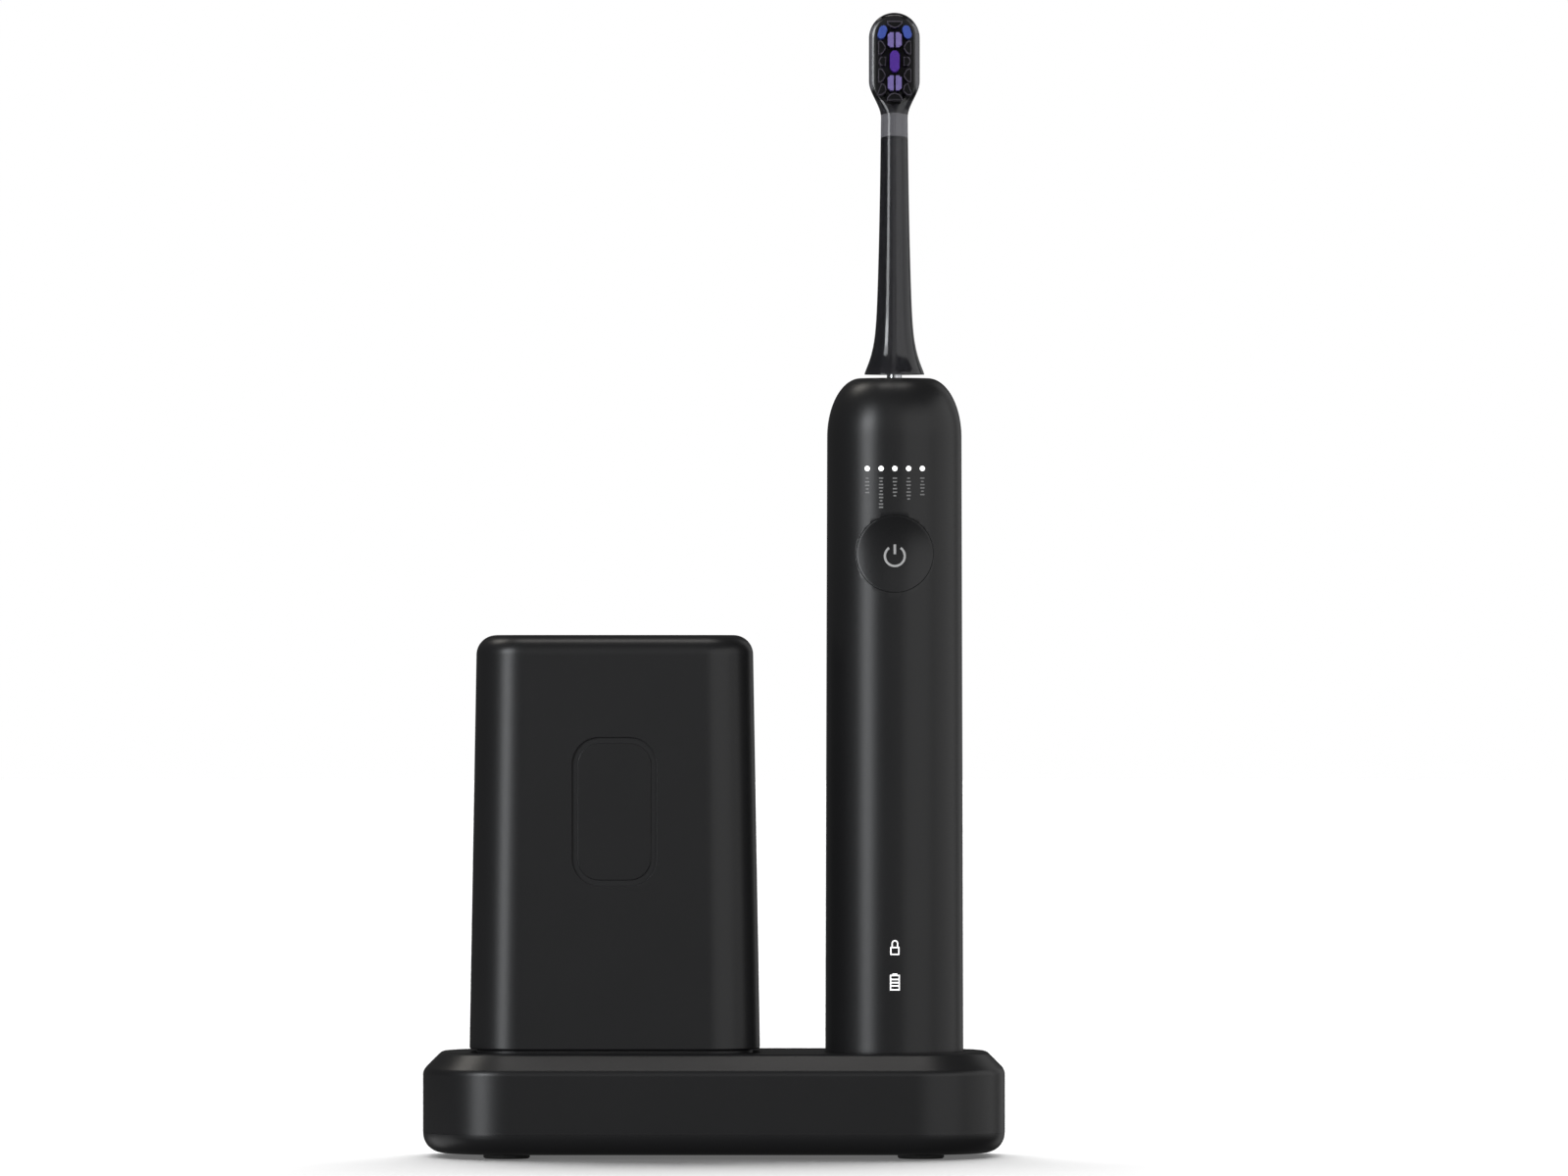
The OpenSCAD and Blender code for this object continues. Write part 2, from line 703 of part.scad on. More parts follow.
module shaft_seal() color([0.1, 0.1, 0.1]) {
  plug_r = crown_bore_r - fixed_gap / 2;
  flange_r = crown_bore_r + 1.2;
  flange_t = 1.75;
  seal_l = 4.15;
  at_brush(handle_l - roof_t - flange_t - 0.05) rotate_extrude() polygon([
    [shaft_r + 0.3, 0], [flange_r, 0], [flange_r, flange_t], [plug_r, flange_t],
    [plug_r, seal_l], [plug_r - 0.6, seal_l], [shaft_r + run_gap, seal_l - 0.6], [shaft_r + run_gap, 3]
  ]);
}

// Drive

module drive_shaft() color([0.85, 0.86, 0.88]) {
  at_brush() difference() {
    union() {
      translate([0, 0, shaft_foot_h]) cylinder(r = shaft_r, h = shaft_top_h - shaft_foot_h - 0.5);
      translate([0, 0, shaft_top_h - 0.5 - eps]) cylinder(r1 = shaft_r, r2 = shaft_r - 0.4, h = 0.5 + eps);
    }
    translate([0, 0, shaft_top_h - flat_l]) slab_y(shaft_d + 1, shaft_r - flat_y, shaft_d, flat_l + 1);
  }
}

module rotor_magnets() color([0.5, 0.5, 0.52]) {
  at_brush(stator_h + (stator_l - rotor_l) / 2) tube(rotor_r, rotor_l, shaft_r + 0.02);
}

// The dish is a saddle: concave down the handle, flatter than the handle across it
module dish_cutter() {
  n = 12;
  half = button_r + 2;
  edge = [for (i = [-n : n]) let (x = half * i / n)
    [x, dish_r_down + dish_r_across - sqrt(pow(dish_r_across, 2) - x * x)]];
  translate([0, dish_front_y - dish_r_down, 0]) rotate([0, 90, 0])
    rotate_extrude($fn = 256) polygon(concat([[0, -half]], [for (p = edge) [p[1], p[0]]], [[0, half]]));
}

module button_cap() color([0.1, 0.1, 0.1]) {
  at_brush(button_h) intersection() {
    rod_y(cap_r, -handle_r, cap_back_y);
    translate([0, 0, -button_h]) housing_solid(0, 0);
    difference() {
      translate([0, 0, -button_r - 1]) slab_y(handle_d, -handle_r - 1, 0, button_d + 2);
      dish_cutter();
    }
  }
}

module switch_plunger() color([0.85, 0.85, 0.85]) {
  at_brush(button_h) rod_y(plunger_r, cap_back_y, board_front_y - 0.5 - button_travel);
}

// Brush head

// Everything inside an inset copy of the neck's curve, up to a height
module neck_solid(inset, top) {
  heights = concat([for (i = [0 : 10]) 1.2 * i], [for (t = [15 : 6 : top - 3]) t], [top]);
  rotate_extrude() polygon(concat([[0, 0]], [for (t = heights) [neck_r(t) - inset, t]], [[0, top]]));
}

module head_block() {
  side_z = [head_low + head_r - 3.6, head_top - head_r];
  hull() {
    for (z = side_z) at_head(z) rod_blank(head_r);
    at_head(head_low - 1.2) rod_blank(3);
  }
}

// A disc that faces the front, with its rim rounded
module rod_blank(r) {
  rim = 1;
  rotate([90, 0, 0]) rotate_extrude($fn = hull_fn) polygon([
    [0, -head_t / 2], [r - rim, -head_t / 2],
    [r - 0.3 * rim, -head_t / 2 + 0.3 * rim], [r, -head_t / 2 + rim],
    [r, head_t / 2 - rim], [r - 0.3 * rim, head_t / 2 - 0.3 * rim], [r - rim, head_t / 2], [0, head_t / 2]
  ]);
}

module plate_block(grow, front, back) {
  at_head(plate_z) upright(plate_w + 2 * grow, plate_l + 2 * grow, plate_w / 2 + grow - eps, front, back);
}

module neck_shell() color([0.3, 0.3, 0.32, 0.6]) {
  difference() {
    union() {
      at_head() neck_solid(0, head_low + 1);
      head_block();
    }
    at_head(-eps) neck_solid(neck_wall, core_top + 0.1);
    plate_block(0.05, -head_t, -head_t / 2 + plate_t);
  }
}

module neck_core() color([0.05, 0.05, 0.05]) {
  at_head() difference() {
    neck_solid(neck_wall + 0.05, core_top);
    translate([0, 0, -1]) cylinder(r = core_bore_r, h = shaft_out + 1.6);
    translate([0, 0, clip_h - 0.1]) cylinder(r = core_bore_r + clip_w + 0.1, h = clip_l + 0.2);
  }
}

module shaft_clip() color([0.7, 0.7, 0.72]) {
  at_head(clip_h) difference() {
    tube(core_bore_r + clip_w, clip_l, core_bore_r);
    slab_y(1, -core_bore_r - 1, 0, clip_l);
  }
}

module bristle_plate() color([0.09, 0.09, 0.09]) {
  plate_block(0, plate_front_y, -head_t / 2 + plate_t - 0.05);
}

// One tuft: an outline in width and height, drawn out to the front
module tuft(x, z) {
  at_head(plate_z + z) translate([x, plate_front_y, 0])
    rotate([90, 0, 0]) linear_extrude(bristle_l) children();
}

// A D with its flat side towards +X when side is 1
module d_shape(w, h, side) {
  r = (h * h / 4 + w * w) / (2 * w);
  intersection() {
    translate([side * (r - w / 2), 0]) circle(r);
    square([w, h], center = true);
  }
}

module bar_shape(w, h) {
  square([w, h - w], center = true);
  for (s = [-1, 1]) translate([0, s * (h - w) / 2]) circle(w / 2);
}

module tufts_black() color([0.05, 0.05, 0.05]) {
  for (s = [-1, 1]) {
    tuft(s * 2.8, 2.75) d_shape(1.5, 3, s);
    tuft(s * 2.8, -3.35) d_shape(1.5, 3, s);
    tuft(s * 2.7, -0.25) d_shape(1.7, 2, -s);
    tuft(s * 2.65, -6.65) rotate(s * 20) d_shape(1.6, 2.7, s);
  }
  tuft(0, 7.75) rotate(90) d_shape(1.5, 3.5, 1);
  tuft(0, -8.15) rotate(90) d_shape(1.6, 3.5, -1);
}

module tufts_lilac() color([0.55, 0.47, 0.72]) {
  for (s = [-1, 1], z = [4.45, -5.05]) tuft(s * 0.87, z) d_shape(1.34, 3.3, -s);
}

module tufts_violet() color([0.36, 0.2, 0.62]) {
  tuft(0, -0.35) bar_shape(2.2, 4.7);
}

module tufts_blue() color([0.27, 0.38, 0.72]) {
  for (s = [-1, 1]) tuft(s * 2.7, 6.15) rotate(s * 20) d_shape(1.8, 2.8, s);
}

base_housing();
base_cover();
base_gasket();
base_feet();
base_screws();
charging_post();
transmitter_coil();
transmitter_core();
charger_board();
usb_socket();
head_tray();
head_cover();
handle_housing();
end_cap();
end_cap_seal();
receiver_coil();
receiver_ferrite();
chassis();
battery_cell();
battery_tabs();
main_board();
board_components();
board_screws();
mode_leds();
mode_light_pins();
icon_light_guide();
tact_switch();
button_gasket();
motor_case();
stator_core();
stator_coil();
front_bearing();
rear_bearing();
motor_cushion();
shaft_seal();
drive_shaft();
rotor_magnets();
button_cap();
switch_plunger();
neck_shell();
neck_core();
shaft_clip();
bristle_plate();
tufts_black();
tufts_lilac();
tufts_violet();
tufts_blue();
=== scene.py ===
"""Looks of a sonic toothbrush on its charging base, beside a covered box for spare heads."""
import math
import random

import bmesh
import bpy
from mathutils import Matrix, Vector


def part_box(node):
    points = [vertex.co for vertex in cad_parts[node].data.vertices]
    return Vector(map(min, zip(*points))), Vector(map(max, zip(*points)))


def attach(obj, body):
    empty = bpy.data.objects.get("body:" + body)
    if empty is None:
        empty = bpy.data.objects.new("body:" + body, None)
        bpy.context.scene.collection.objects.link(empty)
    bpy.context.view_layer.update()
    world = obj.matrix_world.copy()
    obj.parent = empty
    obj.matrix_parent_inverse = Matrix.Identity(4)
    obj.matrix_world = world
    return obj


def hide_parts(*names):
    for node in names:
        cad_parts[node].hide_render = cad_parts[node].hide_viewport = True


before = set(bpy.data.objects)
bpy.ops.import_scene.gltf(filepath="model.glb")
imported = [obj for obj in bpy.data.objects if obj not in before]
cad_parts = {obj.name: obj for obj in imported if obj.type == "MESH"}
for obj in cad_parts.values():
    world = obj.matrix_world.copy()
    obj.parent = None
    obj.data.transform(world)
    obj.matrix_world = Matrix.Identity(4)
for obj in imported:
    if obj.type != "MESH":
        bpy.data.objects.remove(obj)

TURN = 2 * math.pi
QUARTER = math.pi / 2
SAME_PLACE = 0.0005
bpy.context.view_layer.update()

# Sizes are in millimetres. Places come from the frame; what follows are the finer shapes on top of it.


def measured(node):
    """Lowest and highest corner of a part, in millimetres."""
    low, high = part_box(node)
    return low * 1000, high * 1000


def middle(node):
    """Centre of a part's box, in millimetres."""
    low, high = measured(node)
    return (low + high) / 2


# Driving places
base_low, base_high = measured("base_cover")
shell_low, shell_high = measured("base_housing")
cover_low, cover_high = measured("head_cover")
tray_low, tray_high = measured("head_tray")
handle_low, handle_high = measured("handle_housing")
head_low, head_high = measured("neck_shell")
plate_low, plate_high = measured("bristle_plate")
tuft_tip_y = measured("tufts_violet")[0].y
post_low, post_high = measured("charging_post")
brush_x = (handle_low.x + handle_high.x) / 2
button_z = middle("button_cap").z
lights_z = middle("mode_light_pins").z
core_top = measured("neck_core")[1].z

# Base
BASE_TOP = shell_high.z
BASE_CORNER = 20.5
TOP_CHAMFER = 4.0
EDGE_SOFT = 0.8
BOTTOM_ROUND = 4.5
PARTING = 0.04
SEAT_GAP = 0.3
POST_GAP = 0.05
POCKET_DEPTH = 2.6

# Handle
FOOT_R = (handle_high.x - handle_low.x) / 2
SHOULDER_R = 14.8
SHOULDER_H = 13.0
CROWN_R = 7.4
CROWN_BORE_R = 4.0
WALL = 1.8
handle_foot = handle_low.z
handle_top = handle_high.z
shoulder_z = handle_top - SHOULDER_H

# Button
BUTTON_R = 8.5
CAP_R = 8.45
DISH_DEPTH = 1.04
DISH_DOWN_R = 34.5
DISH_ACROSS_R = 24.0
CAP_BACK_Y = measured("button_cap")[1].y

# Brush head
NECK_WALL = 0.9
NECK_THIN_R = 2.6
NECK_SWELL = 1.9
SWELL_H = 34
FLARE_H = 4.6
CORE_TIP = 0.8
HEAD_RIM = 1.2
COLLAR_H = 57.6
HEAD_HALF_W = (plate_high.x - plate_low.x) / 2 + HEAD_RIM
FOOT_FLARE_R = 6.6


def handle_radius(z):
    """Outer radius of the handle at a height."""
    if z <= shoulder_z:
        return FOOT_R + (SHOULDER_R - FOOT_R) * (z - handle_foot) / (shoulder_z - handle_foot)
    rise = min(1.0, (z - shoulder_z) / SHOULDER_H)
    return CROWN_R + (SHOULDER_R - CROWN_R) * math.sqrt(1 - rise * rise)


def neck_radius(t):
    """Outer radius of the neck at a height above its foot: a long taper and a short flare."""
    taper = NECK_THIN_R + NECK_SWELL * math.exp(-t / SWELL_H)
    flare = (FOOT_FLARE_R - NECK_THIN_R - NECK_SWELL) * math.exp(-((t / FLARE_H) ** 1.3))
    return taper + flare


# ---------------------------------------------------------------- mesh helpers


def build(name, bm, body, material, smooth_angle=35, replaces=(), weighted=False):
    """Turns a finished bmesh, in millimetres, into a piece that rides on a body."""
    bmesh.ops.scale(bm, vec=Vector((0.001, 0.001, 0.001)), verts=bm.verts)
    mesh = bpy.data.meshes.new(name)
    bm.to_mesh(mesh)
    bm.free()
    piece = bpy.data.objects.new(name, mesh)
    bpy.context.scene.collection.objects.link(piece)
    mesh.polygons.foreach_set("use_smooth", [True] * len(mesh.polygons))
    mesh.set_sharp_from_angle(angle=math.radians(smooth_angle))
    if weighted:
        piece.modifiers.new("even_faces", "WEIGHTED_NORMAL").keep_sharp = True
    mesh.materials.append(material)
    if body is not None:
        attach(piece, body)
    if replaces:
        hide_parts(*replaces)
    return piece


def tidy(bm):
    """Merges doubles and turns every face outwards."""
    bmesh.ops.remove_doubles(bm, verts=bm.verts, dist=SAME_PLACE)
    bmesh.ops.recalc_face_normals(bm, faces=bm.faces)


def soften(bm, edges, radius, segments=3):
    """Rounds edges over."""
    bmesh.ops.bevel(bm, geom=list(edges), offset=radius, offset_type="OFFSET", segments=segments,
                    affect="EDGES", profile=0.5, material=-1)


def flat_edges(bm, z, tolerance=0.01):
    """Edges that lie at one height."""
    return [e for e in bm.edges if all(abs(v.co.z - z) < tolerance for v in e.verts)]


def rounded_block(length, depth, low, high, corner, centre_x=0.0, segments=20):
    """An upright block whose four vertical edges are round."""
    bm = bmesh.new()
    bmesh.ops.create_cube(bm, size=1)
    bmesh.ops.scale(bm, vec=(length, depth, high - low), verts=bm.verts)
    bmesh.ops.translate(bm, vec=(centre_x, 0, (low + high) / 2), verts=bm.verts)
    upright = [e for e in bm.edges if abs(e.verts[0].co.z - e.verts[1].co.z) > (high - low) / 2]
    soften(bm, upright, corner, segments)
    return bm


def slot_block(width, height, round_r, front, back, centre, segments=10):
    """A block with a rounded-rectangle outline that faces the front."""
    bm = bmesh.new()
    bmesh.ops.create_cube(bm, size=1)
    bmesh.ops.scale(bm, vec=(width, back - front, height), verts=bm.verts)
    long_edges = [e for e in bm.edges if abs(e.verts[0].co.y - e.verts[1].co.y) > (back - front) / 2]
    soften(bm, long_edges, round_r, segments)
    bmesh.ops.translate(bm, vec=(centre.x, (front + back) / 2, centre.z), verts=bm.verts)
    return bm


def rod(radius, low, high, centre_x=0.0, centre_y=0.0, segments=96):
    """An upright cylinder."""
    bm = bmesh.new()
    bmesh.ops.create_cone(bm, cap_ends=True, segments=segments, radius1=radius, radius2=radius,
                          depth=high - low)
    bmesh.ops.translate(bm, vec=(centre_x, centre_y, (low + high) / 2), verts=bm.verts)
    return bm


def turned(profile, centre_x=0.0, steps=128):
    """Spins a closed outline of (radius, height) points about an upright axis."""
    bm = bmesh.new()
    verts = [bm.verts.new((r, 0, z)) for r, z in profile]
    edges = [bm.edges.new((verts[i], verts[(i + 1) % len(verts)])) for i in range(len(verts))]
    bmesh.ops.spin(bm, geom=verts + edges, cent=(0, 0, 0), axis=(0, 0, 1), angle=TURN,
                   steps=steps, use_merge=True)
    tidy(bm)
    bmesh.ops.translate(bm, vec=(centre_x, 0, 0), verts=bm.verts)
    return bm


def as_object(bm, name):
    """A passing object for a boolean to read."""
    mesh = bpy.data.meshes.new(name)
    bm.to_mesh(mesh)
    bm.free()
    helper = bpy.data.objects.new(name, mesh)
    bpy.context.scene.collection.objects.link(helper)
    return helper


def combined(bm, other, operation):
    """The first shape with the second cut from it or joined to it."""
    first = as_object(bm, "first")
    second = as_object(other, "second")
    cut = first.modifiers.new("cut", "BOOLEAN")
    cut.operation = operation
    cut.solver = "EXACT"
    cut.object = second
    bpy.context.view_layer.update()
    result = bpy.data.meshes.new_from_object(first.evaluated_get(bpy.context.evaluated_depsgraph_get()))
    out = bmesh.new()
    out.from_mesh(result)
    for helper in (first, second):
        mesh = helper.data
        bpy.data.objects.remove(helper)
        bpy.data.meshes.remove(mesh)
    bpy.data.meshes.remove(result)
    bmesh.ops.remove_doubles(out, verts=out.verts, dist=SAME_PLACE)
    return out


def carved(bm, *cutters):
    """The shape with each cutter taken out of it."""
    for cutter in cutters:
        bm = combined(bm, cutter, "DIFFERENCE")
    return bm


def sharp_edges(bm, inside, angle=40):
    """Edges that turn more than an angle and whose two ends pass a test."""
    limit = math.radians(angle)
    return [e for e in bm.edges
            if len(e.link_faces) == 2
            and e.calc_face_angle(0) > limit
            and all(inside(v.co) for v in e.verts)]


# ---------------------------------------------------------------- materials


def linear(colour):
    """An sRGB hex colour as linear RGBA."""
    parts = [int(colour[i:i + 2], 16) / 255 for i in (1, 3, 5)]
    return [c / 12.92 if c <= 0.04045 else ((c + 0.055) / 1.055) ** 2.4 for c in parts] + [1.0]


def place(tree, kind, settings=None, links=None):
    """Adds a node with its settings and links."""
    made = tree.nodes.new("ShaderNode" + kind)
    for key, value in (settings or {}).items():
        if key in made.inputs:
            made.inputs[key].default_value = value
        else:
            setattr(made, key, value)
    for key, socket in (links or {}).items():
        tree.links.new(socket, made.inputs[key])
    return made


def finish_of(name, colour, second, grain_mm, roughness, spread, bump, bump_mm=0.01,
              stretch=(1, 1, 1), **shader):
    """A surface whose colour drifts between two tones, with roughness and relief from one grain."""
    material = bpy.data.materials.new(name)
    material.use_nodes = True
    tree = material.node_tree
    tree.nodes.clear()
    where = place(tree, "TexCoord")
    mapped = place(tree, "Mapping", {"Scale": stretch}, {"Vector": where.outputs["Object"]})
    grain = place(tree, "TexNoise", {"Scale": 1000 / grain_mm, "Detail": 3.0, "Roughness": 0.6},
                  {"Vector": mapped.outputs["Vector"]})
    drift = place(tree, "TexNoise", {"Scale": 60.0, "Detail": 2.0}, {"Vector": where.outputs["Object"]})
    tone = place(tree, "MixRGB", {"Color1": linear(colour), "Color2": linear(second)},
                 {"Fac": drift.outputs["Fac"]})
    rough = place(tree, "MapRange", {"From Min": 0.25, "From Max": 0.75,
                                     "To Min": roughness - spread, "To Max": roughness + spread},
                  {"Value": grain.outputs["Fac"]})
    relief = place(tree, "Bump", {"Strength": bump, "Distance": bump_mm / 1000},
                   {"Height": grain.outputs["Fac"]})
    bsdf = place(tree, "BsdfPrincipled", shader,
                 {"Base Color": tone.outputs["Color"], "Roughness": rough.outputs["Result"],
                  "Normal": relief.outputs["Normal"]})
    place(tree, "OutputMaterial", {}, {"Surface": bsdf.outputs["BSDF"]})
    return material


# Acrylonitrile butadiene styrene from a spark-eroded mould: an even satin with a very fine grain.
# The grain is drawn at 0.35 mm, coarser than the real 0.05 mm, so that it shows.
satin_abs = finish_of("satin_moulded_abs", "#171718", "#1A1A1B", 0.35, 0.34, 0.03, 0.25, 0.004, IOR=1.5)
# The same plastic on the button, a little glossier from its polished mould insert.
button_abs = finish_of("polished_moulded_abs", "#161617", "#19191A", 0.4, 0.3, 0.03, 0.2, 0.003, IOR=1.5)
# Tray, end cap and charging post, from a plainer mould: greyer and duller.
tray_abs = finish_of("matt_moulded_abs", "#19191A", "#1D1D1E", 0.4, 0.42, 0.04, 0.3, 0.005, IOR=1.5)
# The ring of the grip, eroded more coarsely: flat and dull, and darker than the cover as painted shade of the
# recess edge, so that the pad inside it stands out.
matt_abs_painted_shade = finish_of("spark_eroded_matt_abs_painted_shade", "#121213", "#151516", 0.4, 0.62, 0.04, 0.3, 0.005, IOR=1.5)
# Vulcanised rubber of feet, motor cushion and shaft seal: matt, slightly dusty.
foot_rubber = finish_of("vulcanised_rubber", "#161616", "#1D1D1C", 0.5, 0.72, 0.08, 0.4, 0.02, IOR=1.5)
# Moulded silicone seals: smooth, with a soft, slightly waxy shine.
silicone_grey = finish_of("moulded_silicone_grey", "#5C5D60", "#66676A", 0.5, 0.55, 0.05, 0.2, 0.01, IOR=1.43)
silicone_red = finish_of("moulded_silicone_red", "#8A3426", "#963B2B", 0.5, 0.55, 0.05, 0.2, 0.01, IOR=1.43)
# Zinc plating on screws, motor case and magnets: bluish grey, uneven in shine.
plated_steel = finish_of("zinc_plated_steel", "#A9ABB0", "#B6B8BC", 0.3, 0.32, 0.06, 0.15, 0.006,
                         Metallic=1.0)
# Pressed steel of the socket and the stator: bright, with fine upright lines.
drawn_steel = finish_of("drawn_steel", "#A2A3A6", "#ADAEB1", 0.25, 0.3, 0.05, 0.2, 0.004,
                        (1, 1, 0.05), Metallic=1.0)
# Centreless-ground stainless shaft: bright, with fine rings round it.
ground_stainless = finish_of("ground_stainless_steel", "#D4D6DA", "#DEE0E3", 0.2, 0.14, 0.04, 0.1, 0.002,
                             (0.1, 0.1, 1), Metallic=1.0)
# Enamelled copper wire wound in even turns: ridges round the coil, drawn at 0.4 mm so that they show.
copper_wire = finish_of("enamelled_copper_winding", "#B4703C", "#C07C45", 0.4, 0.3, 0.08, 0.8, 0.08,
                        (0.02, 0.02, 1), Metallic=1.0)
# Pressed and fired ferrite: charcoal, dull and a little sandy.
pressed_ferrite = finish_of("pressed_ferrite", "#2B2928", "#343130", 0.6, 0.6, 0.08, 0.4, 0.02)
# Green solder mask, screen printed over copper: smooth with a slight waviness.
solder_mask = finish_of("green_solder_mask", "#1A4A2C", "#1F5533", 1.2, 0.35, 0.05, 0.15, 0.01, IOR=1.5)
# Transfer-moulded epoxy of chips and of the switch: dull black.
moulded_epoxy = finish_of("moulded_epoxy", "#232324", "#2B2B2C", 0.4, 0.5, 0.06, 0.3, 0.01)
# Undyed ABS of the chassis: warm ivory, plain mould finish.
natural_abs = finish_of("natural_moulded_abs", "#C4C3BA", "#CCCBC3", 0.6, 0.4, 0.05, 0.2, 0.008, IOR=1.5)
# Heat-shrunk PVC sleeve of the cell: thin, glossy and drawn tight.
shrink_sleeve = finish_of("printed_shrink_sleeve", "#2B5F9E", "#3068A8", 1.5, 0.25, 0.04, 0.1, 0.01, IOR=1.5)
# Rolled nickel strip: warm grey, with fine rolling lines.
nickel_strip = finish_of("nickel_strip", "#B9B5A8", "#C4C0B4", 0.3, 0.3, 0.06, 0.15, 0.005,
                         (1, 0.1, 1), Metallic=1.0)
# Sintered, oil-soaked bronze bearings: dull gold, open pores.
sintered_bronze = finish_of("sintered_bronze", "#A88550", "#B4905A", 0.3, 0.4, 0.08, 0.5, 0.01, Metallic=1.0)
# Moulded nylon of the plunger and the light guide: milky white.
nylon_white = finish_of("moulded_nylon", "#D9D9D6", "#E2E2DF", 0.5, 0.4, 0.05, 0.2, 0.006, IOR=1.53)
# Silicone over phosphor: cream coloured and smooth.
led_lens = finish_of("led_lens", "#F2F0DC", "#F8F6E6", 0.5, 0.2, 0.03, 0.05, 0.002, IOR=1.5)
# Cores of the neck and of the head: mid grey, which turns dark through the smoky shell.
core_abs = finish_of("moulded_core", "#5B5B5F", "#636367", 0.8, 0.4, 0.03, 0.08, 0.003, IOR=1.5)
head_abs = finish_of("moulded_head_core", "#727276", "#78787C", 0.8, 0.4, 0.03, 0.08, 0.003, IOR=1.5)
# The bristle plate: near black, with a satin shine.
plate_abs = finish_of("moulded_bristle_plate", "#0E0E0F", "#121213", 0.5, 0.36, 0.05, 0.25, 0.006, IOR=1.5)
# Pad-printed ink: flat and dull. The dimmer grey is for the rows of ticks.
print_grey = finish_of("pad_printed_grey", "#A2A2A2", "#AAAAAA", 0.2, 0.5, 0.05, 0.3, 0.003)
print_dim = finish_of("pad_printed_dim_grey", "#767676", "#7E7E7E", 0.2, 0.5, 0.05, 0.3, 0.003)


def nylon(name, colour, second):
    """Extruded nylon filament: smooth, with a soft sheen."""
    return finish_of(name, colour, second, 0.3, 0.38, 0.06, 0.1, 0.002, IOR=1.53)


bristle_black = nylon("nylon_filament_black", "#0E0E10", "#141417")
# The outermost filaments of the black tufts, lighter grey as a painted sheen on their edges.
bristle_painted_sheen = nylon("nylon_filament_painted_sheen", "#5A5560", "#66606E")
bristle_lilac = nylon("nylon_filament_lilac", "#9484CC", "#A494DA")
bristle_violet = nylon("nylon_filament_violet", "#6032B2", "#6E3EC2")
bristle_blue = nylon("nylon_filament_blue", "#4C66CC", "#5874D6")


def glowing(name, colour, strength):
    """A milky light guide lit from behind: bright and even, with a soft clear surface."""
    material = finish_of(name, colour, colour, 0.5, 0.3, 0.03, 0.05, 0.002, IOR=1.49)
    bsdf = next(n for n in material.node_tree.nodes if n.type == "BSDF_PRINCIPLED")
    bsdf.inputs["Emission Color"].default_value = linear(colour)
    bsdf.inputs["Emission Strength"].default_value = strength
    return material


lit_guide = glowing("lit_light_guide", "#FFFFFF", 0.9)


def smoky(name, colour):
    """Smoke-tinted copolyester, injection moulded and polished: clear and glossy, darker over the core."""
    material = finish_of(name, colour, colour, 3.0, 0.11, 0.015, 0.01, 0.002, IOR=1.57)
    bsdf = next(n for n in material.node_tree.nodes if n.type == "BSDF_PRINCIPLED")
    bsdf.inputs["Transmission Weight"].default_value = 1.0
    return material


smoke_clear = smoky("smoke_tinted_copolyester", "#56565A")

# ---------------------------------------------------------------- camera, stage and lights

# Distances in this section are in metres.
VIEW_X = 0.0154
CAMERA_AWAY = 3.07
CAMERA_Z = 0.125
AIM_Z = 0.11
FLOOR_SUN = 5.9
PAPER_TONE = 0.86
PAPER_GLOW = 0.13

def set_camera():
    """A long lens level with the middle of the object."""
    lens = bpy.data.cameras.new("camera")
    lens.lens = 320
    lens.sensor_width = 36
    lens.clip_end = 50
    camera = bpy.data.objects.new("camera", lens)
    camera.location = (VIEW_X, -CAMERA_AWAY, CAMERA_Z)
    camera.rotation_euler = (math.radians(90), 0, 0)
    bpy.context.scene.collection.objects.link(camera)
    bpy.context.scene.camera = camera


def set_stage():
    """A plain white floor that catches a soft shadow, in a white room."""
    bm = bmesh.new()
    bmesh.ops.create_grid(bm, x_segments=1, y_segments=1, size=6)
    mesh = bpy.data.meshes.new("floor")
    bm.to_mesh(mesh)
    bm.free()
    floor = bpy.data.objects.new("floor", mesh)
    bpy.context.scene.collection.objects.link(floor)
    paper = bpy.data.materials.new("white_paper_floor")
    paper.use_nodes = True
    tree = paper.node_tree
    tree.nodes.clear()
    bsdf = place(tree, "BsdfDiffuse", {"Color": (PAPER_TONE, PAPER_TONE, PAPER_TONE, 1)})
    light = place(tree, "Emission", {"Color": (1, 1, 1, 1), "Strength": PAPER_GLOW})
    both = place(tree, "AddShader", {}, {0: bsdf.outputs["BSDF"], 1: light.outputs["Emission"]})
    place(tree, "OutputMaterial", {}, {"Surface": both.outputs[0]})
    mesh.materials.append(paper)
    floor.visible_glossy = False
    floor.visible_diffuse = False
    floor.visible_shadow = False
    return floor


def without(piece):
    """A set of receivers for a light that leaves one piece out."""
    others = bpy.data.collections.new("all_but_" + piece.name)
    others.objects.link(piece)
    others.collection_objects[0].light_linking.link_state = "EXCLUDE"
    return others


def set_world(room):
    """White where it is seen directly or through clear plastic, dim where it lights and reflects."""
    world = bpy.data.worlds.new("room")
    bpy.context.scene.world = world
    world.use_nodes = True
    tree = world.node_tree
    tree.nodes.clear()
    path = place(tree, "LightPath")
    seen = place(tree, "Math", {"operation": "MAXIMUM"},
                 {0: path.outputs["Is Camera Ray"], 1: path.outputs["Is Transmission Ray"]})
    dim = place(tree, "Background", {"Color": (1, 1, 1, 1), "Strength": room})
    white = place(tree, "Background", {"Color": (1, 1, 1, 1), "Strength": 1.0})
    mixed = place(tree, "MixShader", {}, {0: seen.outputs[0], 1: dim.outputs[0], 2: white.outputs[0]})
    place(tree, "OutputWorld", {}, {"Surface": mixed.outputs[0]})


